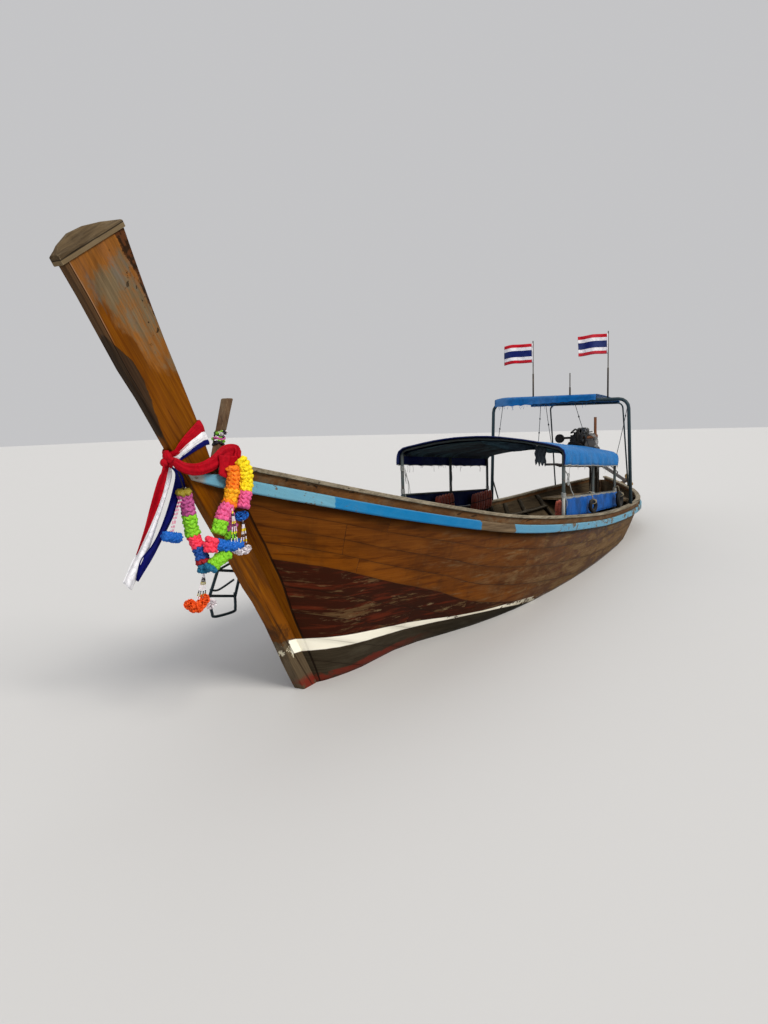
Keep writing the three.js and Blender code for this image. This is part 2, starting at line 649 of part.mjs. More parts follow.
function makeCanopy() {
  const outer = coverLine(0);
  const inner = coverLine(COVER_THICK).reverse();
  const rings = [COVER_FORE, COVER_AFT].map((x) => [...outer, ...inner].map(([y, z]) => [x, y, coverPeak(x) + z]));
  piece('canopy_cover', BLUE_TARP, loft(rings));

  const tubes = [];
  const arch = coverLine(COVER_THICK + 16).filter(([, z]) => z > -225);
  for (const x of POST_X) {
    const peak = coverPeak(x);
    tubes.push(pipe(arch.map(([y, z]) => [x, y, peak + z]), 13, 8));
    for (const side of [-1, 1]) {
      const foot = sheerZ(x) - SHELF_BELOW_SHEER + 5;
      tubes.push(rod([x, side * POST_Y, foot], [x, side * POST_Y, peak - 212], POST_R, 12));
    }
  }
  for (const side of [-1, 1]) {
    const [aft, fore] = [POST_X[2], POST_X[0]];
    tubes.push(rod([aft, side * POST_Y, coverPeak(aft) - 205], [fore, side * POST_Y, coverPeak(fore) - 205], 14, 8));
    tubes.push(rod([aft, side * POST_Y, panelTop(aft)], [fore, side * POST_Y, panelTop(fore)], 12, 8));
  }
  piece('canopy_frame', TUBE_GREY, union(tubes));

  for (const [name, side] of [['port', 1], ['starboard', -1]]) {
    const y = side * (POST_Y + POST_R + 6);
    const rings2 = [POST_X[0] + 10, 50, POST_X[2] - 10].map((x) => {
      const [low, high] = [sheerZ(x) + CAP_ABOVE_SHEER + 12, panelTop(x)];
      return [[x, y - 4, low], [x, y + 4, low], [x, y + 4, high], [x, y - 4, high]];
    });
    piece(`side_panel_${name}`, BLUE_TARP, loft(rings2));
  }
}

// A hoop over both sides; its legs lean inwards, and rake moves their feet aft
function bentHoop(x, y, base, top, bend, lean = 0, rake = 0) {
  const corner = [0, 22.5, 45, 67.5, 90].map((a) => a * Math.PI / 180);
  const port = corner.map((a) => [y - lean - bend + bend * Math.cos(a), top - bend + bend * Math.sin(a)]);
  const half = [[y, base], ...port].map(([hy, hz]) => [x - rake * (top - hz) / (top - base), hy, hz]);
  return [...half, ...half.map(([hx, hy, hz]) => [hx, -hy, hz]).reverse()];
}

function makeHoop() {
  const foot = sheerZ(HOOP_X) + CAP_ABOVE_SHEER + GAP;
  const parts = [pipe(bentHoop(HOOP_X, HOOP_Y, foot, HOOP_TOP, HOOP_BEND, 45), HOOP_R, 12)];
  const braceFoot = sheerZ(HOOP_X - 330) + CAP_ABOVE_SHEER + 12;
  parts.push(rod([HOOP_X, -HOOP_Y, foot + 420], [HOOP_X - 330, -HOOP_Y - 2, braceFoot], 12, 8));
  piece('stern_hoop', BLACK_TUBE, union(parts));

  const legX = REAR_HOOP_X - REAR_HOOP_RAKE;
  const rearFoot = sheerZ(legX) + CAP_ABOVE_SHEER + 4;
  const legY = sheerY(legX) - 20;
  const rear = bentHoop(REAR_HOOP_X, legY, rearFoot, REAR_HOOP_TOP, 90, 30, REAR_HOOP_RAKE);
  piece('rear_hoop', BLACK_TUBE, pipe(rear, 14, 8));

  const front = HOOP_X + HOOP_R + 16;
  const top = HOOP_TOP + HOOP_R;
  const sheet = [[front, 2078], [front, top + 20], [front - 40, top + 62], [-2900, top + 50], [-3600, top + 22],
    [AWNING_AFT, REAR_HOOP_TOP + 30], [AWNING_AFT - 6, 2060]];
  const under = sheet.map(([x, z], i) => {
    const a = sheet[Math.max(i - 1, 0)];
    const b = sheet[Math.min(i + 1, sheet.length - 1)];
    const long = Math.hypot(b[0] - a[0], b[1] - a[1]);
    return [x + 10 * (b[1] - a[1]) / long * -1, z + 10 * (b[0] - a[0]) / long];
  }).reverse();
  const cloth = sidePlate([...sheet, ...under], AWNING_STARBOARD, AWNING_PORT);
  const holes = POLES.map(([y]) => rod([HOOP_X, y, HOOP_TOP], [HOOP_X, y, HOOP_TOP + 200], POLE_R + 4, 10));
  piece('stern_awning', BLUE_TARP, cut(cloth, holes));
}

function makeFlags() {
  const foot = HOOP_TOP + HOOP_R + GAP;
  const half = FLAG_THICK / 2;
  const [ux, uy] = WIND;
  let flags = 0;
  POLES.forEach(([y, top, flagTop], i) => {
    const mid = foot + (top - foot) * 0.45;
    const lower = rod([HOOP_X, y, foot], [HOOP_X, y, mid], POLE_R, 10);
    const upper = rod([HOOP_X, y, mid - 4], [HOOP_X, y, top], POLE_R * 0.62, 10);
    piece(`flag_pole_${i + 1}`, BARE_WOOD, union([lower, upper]));
    if (flagTop === 0) return;
    flags += 1;
    const rings = [POLE_R * 0.62 + 1, FLAG_LONG / 2, FLAG_LONG].map((d) => {
      const [x, yy] = [HOOP_X + ux * d, y + uy * d];
      return [[x - uy * half, yy + ux * half, flagTop], [x + uy * half, yy - ux * half, flagTop],
        [x + uy * half, yy - ux * half, flagTop - FLAG_HIGH], [x - uy * half, yy + ux * half, flagTop - FLAG_HIGH]];
    });
    piece(`flag_${flags}`, STRIPED_CLOTH, loft(rings));
  });
}

// Hooked over the starboard cap rail, with its rungs parallel to the sheer
function makeLadder() {
  const [tube, drop, reach] = [13, 900, 1020];
  const skew = 1.1;                 // the rails run aslant to the boat's length here
  const rails = [5170, 4850].map((x) => {
    const over = sheerZ(x) + CAP_ABOVE_SHEER + tube + 10;
    const out = sheerY(x) + RAIL_THICK * skew + tube + 6;
    const inner = sheerY(x) - CAP_IN * skew - tube - 8;
    return [[x, -inner, over - 70], [x, -inner, over], [x, -out, over], [x, -out, over - 90], [x, -reach, over - drop]];
  });
  const parts = rails.map((points) => pipe(points, tube, 8));
  const at = (points, t) => points[3].map((v, k) => v + (points[4][k] - v) * t);
  for (const t of [0.2, 0.47, 0.72, 0.99]) parts.push(rod(at(rails[0], t), at(rails[1], t), tube - 1, 8));
  parts.push(rod(at(rails[0], 0.72), at(rails[1], 0.55), tube - 3, 8));
  piece('boarding_ladder', BLACK_TUBE, union(parts));
}

// The engine's fixed post, the yoke that swivels on it, and all that tilts in the yoke

const KINGPIN_R = 25;
const POST_TOP = PIVOT[2] - 130;

function makeEnginePost() {
  const [x] = PIVOT;
  const timber = box(x - 80, x + 80, -80, 80, 395 + GAP, POST_TOP - 12);
  const plate = box(x - 95, x + 95, -95, 95, POST_TOP - 14, POST_TOP);
  const knee = sidePlate([[x + 70, 395 + GAP], [x + 330, 395 + GAP], [x + 330, 440], [x + 70, 760]], -35, 35);
  const bore = rod([x, 0, POST_TOP - 160], [x, 0, POST_TOP + 10], KINGPIN_R + TRUNNION_CLEAR, 24);
  piece('engine_post', BARE_WOOD, cut(union([timber, plate, knee]), [bore]));
}

const swivel = new THREE.Group();
swivel.position.set(...PIVOT);
swivel.rotation.z = ENGINE_YAW;
boat.add(swivel);

function makeYoke() {
  const low = POST_TOP - PIVOT[2] + GAP;
  const base = box(-75, 75, -EAR_Y - EAR_THICK / 2, EAR_Y + EAR_THICK / 2, low, low + 22);
  const stem = rod([0, 0, low - 150], [0, 0, low + 10], KINGPIN_R, 24);
  const ears = [-1, 1].map((side) => sidePlate(
    [[-70, low + 5], [70, low + 5], [34, 34], [-34, 34]],
    side * EAR_Y - EAR_THICK / 2, side * EAR_Y + EAR_THICK / 2));
  const bore = rod([0, -300, 0], [0, 300, 0], TRUNNION_R + TRUNNION_CLEAR, 24);
  piece('swivel_yoke', RUST, cut(union([base, stem, ...ears]), [bore]), swivel);
}

function makeCradle() {
  const inner = EAR_Y - EAR_THICK / 2 - 7;
  const parts = [];
  for (const side of [-1, 1]) {
    parts.push(box(-90, 1620, side * RAIL_Y - 22, side * RAIL_Y + 22, -28, 28));
    parts.push(rod([0, side * (RAIL_Y - 10), 0], [0, side * (EAR_Y + 26), 0], TRUNNION_R, 24));
    parts.push(rod([0, side * (RAIL_Y - 10), 0], [0, side * inner, 0], TRUNNION_R + 12, 16));
  }
  for (const x of [230, 560, 1150, 1590]) parts.push(box(x - 25, x + 25, -RAIL_Y, RAIL_Y, -24, 28));
  piece('engine_cradle', RUST, union(parts), swivel);

  const tiller = [];
  for (const side of [-1, 1]) {
    tiller.push(pipe([[1640, side * RAIL_Y, 0], [1900, side * 120, 20], [2350, side * 30, 68]], 17, 10));
  }
  tiller.push(rod([2300, 0, 66], [TILLER_END, 0, 100], 19, 12));
  tiller.push(rod([1636, -RAIL_Y - 20, 0], [1636, RAIL_Y + 20, 0], 14, 8));
  piece('tiller', BLACK_TUBE, union(tiller), swivel);
}

function makeEngine() {
  const z0 = 28 + GAP;
  const block = crossBar([[-120, z0], [120, z0], [165, 130], [165, 330], [130, 400], [-130, 400], [-165, 330], [-165, 130]], 470, 1240);
  piece('engine_block', ENGINE_BLACK, block, swivel);
  const heads = [];
  for (let i = 0; i < 4; i++) {
    const x = 500 + i * 186;
    heads.push(box(x, x + 160, -105, 105, 430, 520));
  }
  heads.push(box(490, 1225, -115, 115, 400 + GAP, 445));
  heads.push(crossBar([[-60, 515], [60, 515], [45, 560], [-45, 560]], 520, 1200));
  piece('cylinder_head', ENGINE_SILVER, union(heads), swivel);

  const wheel = new THREE.LatheGeometry([[0, 0], [185, 0], [185, 60], [150, 60], [140, 30], [60, 30], [50, 70], [0, 70]]
    .map(([r, h]) => new THREE.Vector2(r, h)), 24).rotateZ(-Math.PI / 2).translate(1240 + GAP, 0, 215);
  piece('front_pulley', ENGINE_BLACK, wheel, swivel);

  const pump = union([
    rod([1180, -256, 300], [1400, -256, 300], 62, 14), rod([1399, -256, 300], [1440, -256, 300], 48, 14),
    box(1190, 1230, -256, -165 - GAP, 290, 329),
    rod([1181, -256, 300], [1165, -256, 300], 30, 12)]);
  piece('alternator', ENGINE_SILVER, pump, swivel);

  const cleaner = union([
    rod([1500, -200, 470], [1560, -200, 470], 78, 20), rod([1560, -200, 470], [1585, -200, 470], 55, 20),
    pipe([[1501, -200, 470], [1230, -200, 470], [1180, -185, 470], [1150, -150, 470], [1150, -105 - GAP, 470]], 22, 10)]);
  piece('air_cleaner', ENGINE_BLACK, cleaner, swivel);

  const exhaust = union([
    pipe([[1150, 150, 470], [620, 150, 470], [300, 120, 480], [190, 70, 500], [150, 55, 560], [150, 55, 830]], 26, 12),
    ...[540, 726, 912, 1098].map((x) => rod([x + 40, 105 + GAP, 470], [x + 40, 150, 470], 20, 10)),
  ]);
  piece('exhaust_pipe', RUST, exhaust, swivel);

  const gearbox = union([
    rod([470 - GAP, 0, 215], [400, 0, 215], 165, 20), rod([402, 0, 215], [250, 0, 205], 165, 20, 92),
    rod([252, 0, 205], [130, 0, 205], 92, 16, 70), box(130, 330, -70, 70, 28 + GAP, 160)]);
  piece('gearbox', ENGINE_BLACK, gearbox, swivel);
}

// The point at a distance down the shaft's axis, and a drop square to it
const shaftAt = (d, drop = 0) => [-d * Math.cos(SHAFT_FALL) + drop * Math.sin(SHAFT_FALL), 0,
  -d * Math.sin(SHAFT_FALL) - drop * Math.cos(SHAFT_FALL)];

function makeTail() {
  const hubEnd = SHAFT_LONG - 90;
  const tail = [rod(shaftAt(-50), shaftAt(130), 60, 16, 44), rod(shaftAt(120), shaftAt(hubEnd - 60), 35, 16),
    rod(shaftAt(hubEnd - 62), shaftAt(hubEnd), 46, 16), box(-90, 60, -RAIL_Y - 20, RAIL_Y + 20, 28 + GAP, 46),
    box(25, 130 - GAP, -55, 55, -35, 265)];
  // A stay rod above the tube, held by two posts
  tail.push(rod([-60, 0, 150], shaftAt(1900, -75), 10, 8));
  tail.push(rod([-60, 0, 40], [-60, 0, 158], 14, 8), rod(shaftAt(1900, -80), shaftAt(1900), 12, 8));
  const fin = [[hubEnd - 330, 20], [hubEnd - 60, 20], [hubEnd - 20, 110], [hubEnd + 20, 190], [hubEnd + 130, 198],
    [hubEnd + 130, 215], [hubEnd - 20, 215], [hubEnd - 150, 120]]
    .map(([d, drop]) => { const p = shaftAt(d, drop); return [p[0], p[2]]; });
  tail.push(sidePlate(fin, -5, 5));
  piece('tail_tube_and_skeg', BLACK_TUBE, union(tail), swivel);

  const hub = rod(shaftAt(hubEnd + 8), shaftAt(SHAFT_LONG + 40), 30, 16, 22);
  const shaft = rod(shaftAt(hubEnd + 2), shaftAt(hubEnd + 20), 18, 12);
  const parts = [hub, shaft, rod(shaftAt(SHAFT_LONG + 38), shaftAt(SHAFT_LONG + 66), 20, 12, 8)];
  const axis = new THREE.Vector3(Math.cos(SHAFT_FALL), 0, Math.sin(SHAFT_FALL));
  for (let k = 0; k < 3; k++) {
    const turn = new THREE.Matrix4().makeRotationAxis(axis, k * 2 * Math.PI / 3);
    const g = blade();
    g.rotateY(-SHAFT_FALL).applyMatrix4(turn).translate(...shaftAt(SHAFT_LONG - 18));
    parts.push(g);
  }
  piece('propeller', BRONZE, union(parts), swivel);
}

// One blade: chord, pitch and thickness change from root to tip, along +Z before it is turned
function blade() {
  // Columns: radius, half chord, pitch in degrees, half thickness
  const stations = [[22, 26, 62, 6], [60, 46, 48, 5], [105, 60, 36, 4], [145, 50, 29, 3], [PROPELLER_R, 18, 26, 2]];
  const rings = stations.map(([r, chord, pitch, thick]) => {
    const a = pitch * Math.PI / 180;
    return [[-1, 0], [-0.4, 1], [0.4, 1], [1, 0], [0.4, -1], [-0.4, -1]].map(([c, t]) => [
      chord * c * Math.sin(a) + thick * t * Math.cos(a), chord * c * Math.cos(a) - thick * t * Math.sin(a), r]);
  });
  return loft(rings, [0, 1]);
}

// Fenders, life vests, cloth, sashes and garlands

function makeLooseGear() {
  // Tyres stand on the cap rail and lean on what is inboard of them. Columns: x, y, radius of the
  // ring, half thickness, turn toward the bow
  const tyres = [[523, 1085, 66, 25, 0.3], [-1242, 1100, 86, 33, 0.1]];
  tyres.forEach(([x, y, r, thick, turn], i) => {
    const z = sheerZ(x) + CAP_ABOVE_SHEER + r + thick + 5;
    const ring = new THREE.TorusGeometry(r, thick, 8, 18).rotateX(Math.PI / 2).rotateZ(-turn).translate(x, y, z);
    piece(`tyre_fender_${i + 1}`, BLACK_RUBBER, ring);
  });
  // Rows of life vests hung inside the panels. Columns: aft x, fore x, middle y
  const vests = [[200, 720, -900], [-1380, -620, -900], [1310, 1520, 915]];
  vests.forEach(([aft, fore, y], i) => piece(`life_vest_${i + 1}`, ORANGE_CLOTH, vest(aft, fore, y)));
  // A ragged cloth from the front arch: y, z below the arch's underside at its place
  const cloth = [[-62, 0], [62, -18], [42, -120], [46, -200], [8, -150], [-20, -215], [-46, -140]];
  const hook = coverPeak(POST_X[0]) - 128;
  piece('hanging_cloth', BLACK_CLOTH, crossBar(cloth.map(([y, z]) => [y + 716, z + hook]), POST_X[0] - 50, POST_X[0] - 30));
}

function vest(aft, fore, y) {
  const outline = [[-50, -330], [50, -330], [66, -270], [56, -60], [28, -25], [-28, -25], [-56, -60], [-66, -270]];
  const top = panelTop((aft + fore) / 2);
  return crossBar(outline.map(([a, b]) => [a + y, b + top]), aft, fore);
}

// Front and back edges of the prow at a height
function prowEdges(z) {
  return [STEM_FRONT, PROW_BACK].map((line) => {
    const i = Math.min(Math.max(line.findIndex((p) => p[1] > z), 1), line.length - 1);
    const [a, b] = [line[i - 1], line[i]];
    return a[0] + (b[0] - a[0]) * (z - a[1]) / (b[1] - a[1]);
  });
}

function makeSashes() {
  // The wrap climbs aft round the prow; its corners lie outside the prow's own edges
  const [frontLow, frontHigh, backLow, backHigh] = [1695, 1785, 1800, 1942];
  const front = (z) => prowEdges(z)[0] + 28;
  const back = (z) => prowEdges(z)[1] - 14;
  const wrap = sidePlate([[front(frontLow), frontLow], [front(frontHigh), frontHigh], [back(backHigh), backHigh], [back(backLow), backLow]],
    -50, 50);
  const core = stemPairs().filter(([, back]) => back[1] > 1610 && back[1] < 2300);
  piece('sash_wrap', RED_CLOTH, cut(wrap, [throughPairs(core, [0, 1], [2.5, 1.5])]));

  // The tails hang from the knot at the prow's front edge and fly a little to starboard.
  // Columns: middle x, y, z, half width along the boat
  const tail = [[6664, 15, 1731, 26], [6685, -11, 1592, 51], [6740, -85, 1347, 84], [6781, -163, 1091, 72]];
  piece('sash_tails', STRIPED_CLOTH, loft(tail.map(([x, y, z, half]) => {
    const [dx, dy] = [half * 0.85, half * 0.5];
    return [[x - dx - 6, y - dy + 9, z], [x - dx + 6, y - dy - 9, z], [x + dx + 6, y + dy - 9, z], [x + dx - 6, y + dy + 9, z]];
  }), [0, 1]));

  const scarf = [[6661, 88, 1721], [6593, 98, 1680], [6487, 102, 1668], [6365, 98, 1697], [6240, 90, 1766], [6160, 100, 1768],
    [6168, 138, 1744], [6212, 166, 1716]];
  piece('scarf', RED_CLOTH, tube(scarf, 36, 22, 10));
  makeGarlands();
}

// Chains of cloth flowers. Each node joins its strands (radius, points), bead strings and blossoms
function makeGarlands() {
  const bead = 6;
  const blossom = (x, y, z, rx, rz) => new THREE.SphereGeometry(1, 10, 6).rotateX(Math.PI / 2).scale(rx, rx * 0.8, rz).translate(x, y, z);
  const strand = (points, radius = 42) => tube(points, radius, 12, 10);
  piece('garland_fore', FLOWERS, union([
    rod([6544, 36, 1554], [6575, 32, 1647], bead, 6), strand([[6538, 30, 1570], [6525, 14, 1528], [6503, 12, 1465], [6480, 12, 1375], [6464, 16, 1274], [6451, 50, 1185], [6458, 74, 1112]]),
    rod([6458, 74, 1127], [6446, 57, 888], bead, 6), blossom(6451, 57, 888, 95, 52), blossom(6385, 57, 863, 45, 34),
    rod([6537, 22, 1540], [6578, -35, 1292], bead, 6), strand([[6527, -30, 1270], [6578, -35, 1282], [6639, -40, 1298]], 30),
  ]));
  piece('garland_middle', FLOWERS, union([
    rod([6254, 162, 1630], [6254, 162, 1668], bead, 6), rod([6254, 162, 1664], [6232, 96, 1704], bead, 6),
    strand([[6254, 162, 1655], [6262, 163, 1597], [6296, 162, 1474], [6368, 160, 1400], [6398, 160, 1318]]),
    blossom(6430, 170, 1240, 62, 46), rod([6398, 158, 1330], [6430, 170, 1240], 30, 8),
    strand([[6296, 160, 1440], [6270, 152, 1370], [6264, 152, 1300], [6290, 160, 1240], [6340, 172, 1180]], 34),
    rod([6430, 170, 1240], [6330, 178, 1205], 36, 10),
    strand([[6330, 172, 1190], [6372, 165, 1150], [6418, 150, 1105], [6436, 146, 1090]], 38),
  ]));
  piece('garland_aft', FLOWERS, union([
    rod([6178, 203, 1640], [6178, 203, 1668], bead, 6), rod([6178, 203, 1664], [6158, 140, 1690], bead, 6),
    strand([[6178, 203, 1655], [6172, 205, 1578], [6197, 203, 1462], [6214, 203, 1373]]),
    rod([6214, 203, 1385], [6222, 205, 1160], bead, 6), blossom(6222, 205, 1158, 66, 34),
  ]));
}

makeHull();
makeStem();
makeSternPost();
makeRails();
makeFrames();
makeDecks();
makeBowPost();
makeCanopy();
makeHoop();
makeFlags();
makeLadder();
makeEnginePost();
makeYoke();
makeCradle();
makeEngine();
makeTail();
makeLooseGear();
makeSashes();

export default boat;
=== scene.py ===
"""Dresses the longtail boat that was packed as a fixed frame: wood, paint, tarpaulins, sashes, flowers and engine.

Everything is in metres in the boat's own frame: +X forward, +Y to port, +Z up, with the water at z = 0.
"""

import math
import random

import bmesh
import bpy
from mathutils import Euler, Matrix, Vector, noise


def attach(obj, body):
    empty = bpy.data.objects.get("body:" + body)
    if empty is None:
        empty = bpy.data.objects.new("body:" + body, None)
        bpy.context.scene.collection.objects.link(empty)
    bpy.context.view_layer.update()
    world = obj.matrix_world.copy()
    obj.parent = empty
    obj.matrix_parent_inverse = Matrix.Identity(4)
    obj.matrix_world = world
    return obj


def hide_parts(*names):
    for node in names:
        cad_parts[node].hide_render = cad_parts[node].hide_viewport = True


bl_info = {
    "name": "Longtail Boat",
    "version": (1, 0, 0),
    "blender": (4, 5, 0),
    "location": "3D View > Sidebar > Longtail",
    "description": "Dresses the longtail boat with wood, paint, tarpaulins, sashes, flowers and its engine",
    "category": "Object",
}

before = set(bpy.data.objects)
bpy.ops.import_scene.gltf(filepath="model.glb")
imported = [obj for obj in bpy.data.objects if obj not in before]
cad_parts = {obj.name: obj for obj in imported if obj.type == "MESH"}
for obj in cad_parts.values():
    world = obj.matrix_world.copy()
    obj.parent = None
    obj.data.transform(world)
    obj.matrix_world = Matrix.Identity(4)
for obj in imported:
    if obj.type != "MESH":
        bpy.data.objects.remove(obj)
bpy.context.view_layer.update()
TAU = 2 * math.pi


def shade(red, green, blue):
    """A screen colour of 0 to 255 as the linear colour that shaders take."""
    parts = [value / 255 for value in (red, green, blue)]
    return tuple(p / 12.92 if p <= 0.04045 else ((p + 0.055) / 1.055) ** 2.4 for p in parts)


def colour_setting(name, description, red, green, blue):
    return bpy.props.FloatVectorProperty(
        name=name, description=description, subtype="COLOR", size=3, min=0, max=1, default=shade(red, green, blue)
    )


def length_setting(name, description, default, low=0.0, high=50.0):
    return bpy.props.FloatProperty(
        name=name, description=description, default=default, min=low, max=high, unit="LENGTH", subtype="DISTANCE"
    )


# Sizes and colours that a user may change

class LongtailColours(bpy.types.PropertyGroup):
    varnish_bow: colour_setting("Bow varnish", "Varnished planks at the bow", 110, 62, 16)
    varnish_middle: colour_setting("Middle varnish", "Varnished planks amidships", 94, 57, 18)
    varnish_aft: colour_setting("Aft planks", "Worn planks towards the stern", 80, 54, 28)
    prow: colour_setting("Prow", "Oiled wood of the prow and the stem", 130, 76, 4)
    old_wood: colour_setting("Old wood", "Wood that sun and salt have turned grey", 122, 106, 82)
    pale_wood: colour_setting("Pale wood", "Bleached wood of the cap rails", 164, 156, 138)
    maroon: colour_setting("Old maroon paint", "Worn paint between the knuckle and the cream strip", 50, 18, 8)
    cream: colour_setting("Cream strip", "Painted strip above the water", 255, 251, 234)
    bottom: colour_setting("Bottom", "Wet wood below the cream strip", 64, 56, 44)
    bottom_red: colour_setting("Bottom paint", "Red paint that remains below the strip", 108, 38, 26)
    rail_blue: colour_setting("Rail blue", "Bright paint of the rub rails", 8, 112, 168)
    rail_pale: colour_setting("Rail pale", "Bleached paint of the rub rails", 104, 158, 180)
    tarp_blue: colour_setting("Tarpaulin", "Blue of the canopy and its panels", 8, 108, 178)
    # Painted shade: the tarpaulins' blue, darkened for the inner sides of the canopy and the side panels
    tarp_inner_shade: colour_setting("Tarp inner shade", "Dark blue lining under the canopy", 12, 26, 88)
    awning_blue: colour_setting("Stern awning", "Blue of the awning over the stern", 6, 92, 158)
    scarf_red: colour_setting("Scarf red", "Red of the scarf and the sash", 176, 8, 28)
    sash_white: colour_setting("Sash white", "White of the sash", 248, 249, 255)
    sash_blue: colour_setting("Sash blue", "Navy blue of the sash", 14, 18, 98)
    vest_orange: colour_setting("Vest orange", "Orange of the life vests", 172, 78, 56)
    tube_grey: colour_setting("Tube grey", "Paint of the canopy frame", 66, 76, 78)
    tube_pale: colour_setting("Tube white", "White paint of the port rail and the front post", 176, 178, 174)
    hoop: colour_setting("Hoop", "Dark paint of the stern hoops", 42, 60, 68)
    engine_paint: colour_setting("Engine paint", "Dark paint of the engine", 26, 27, 30)
    rust: colour_setting("Rust", "Rust on the iron parts", 104, 58, 30)
    floor: colour_setting("Floor", "Plain studio floor", 196, 196, 196)


class LongtailSizes(bpy.types.PropertyGroup):
    strake: length_setting("Strake", "Height of one hull strake below the knuckle", 0.17, 0.05, 0.5)
    board: length_setting("Board", "Length of one hull board between its butts", 2.6, 0.5, 8)
    thread: length_setting("Thread", "Distance between threads of the tarpaulins", 0.0016, 0.0005, 0.01)
    canopy_sag: length_setting("Canopy sag", "How far the canopy sags between its arches", 0.016, 0, 0.1)
    flag_wave: length_setting("Flag wave", "Height of the waves in the flags", 0.022, 0, 0.1)
    petal: length_setting("Petal spacing", "Distance between the ruffles of a garland", 0.0255, 0.005, 0.05)
    bead: length_setting("Bead", "Diameter of a garland's beads", 0.011, 0.004, 0.03)
    floor_half: length_setting("Floor half width", "Half the width of the studio floor", 90.0, 20, 400)
    camera_height: length_setting("Camera height", "Height of the camera above the water", 1.9, 0.2, 20)


def colours():
    return bpy.context.scene.longtail_colours


def sizes():
    return bpy.context.scene.longtail_sizes


# Shader writing

class Value:
    """What a node puts out. Plain arithmetic on it adds math nodes."""

    def __init__(self, tree, socket):
        self.tree, self.socket = tree, socket

    def __add__(self, other):
        return self.tree.math("ADD", self, other)

    def __radd__(self, other):
        return self.tree.math("ADD", other, self)

    def __sub__(self, other):
        return self.tree.math("SUBTRACT", self, other)

    def __rsub__(self, other):
        return self.tree.math("SUBTRACT", other, self)

    def __mul__(self, other):
        return self.tree.math("MULTIPLY", self, other)

    def __truediv__(self, other):
        return self.tree.math("DIVIDE", self, other)

    def __rtruediv__(self, other):
        return self.tree.math("DIVIDE", other, self)

    def __abs__(self):
        return self.tree.math("ABSOLUTE", self)


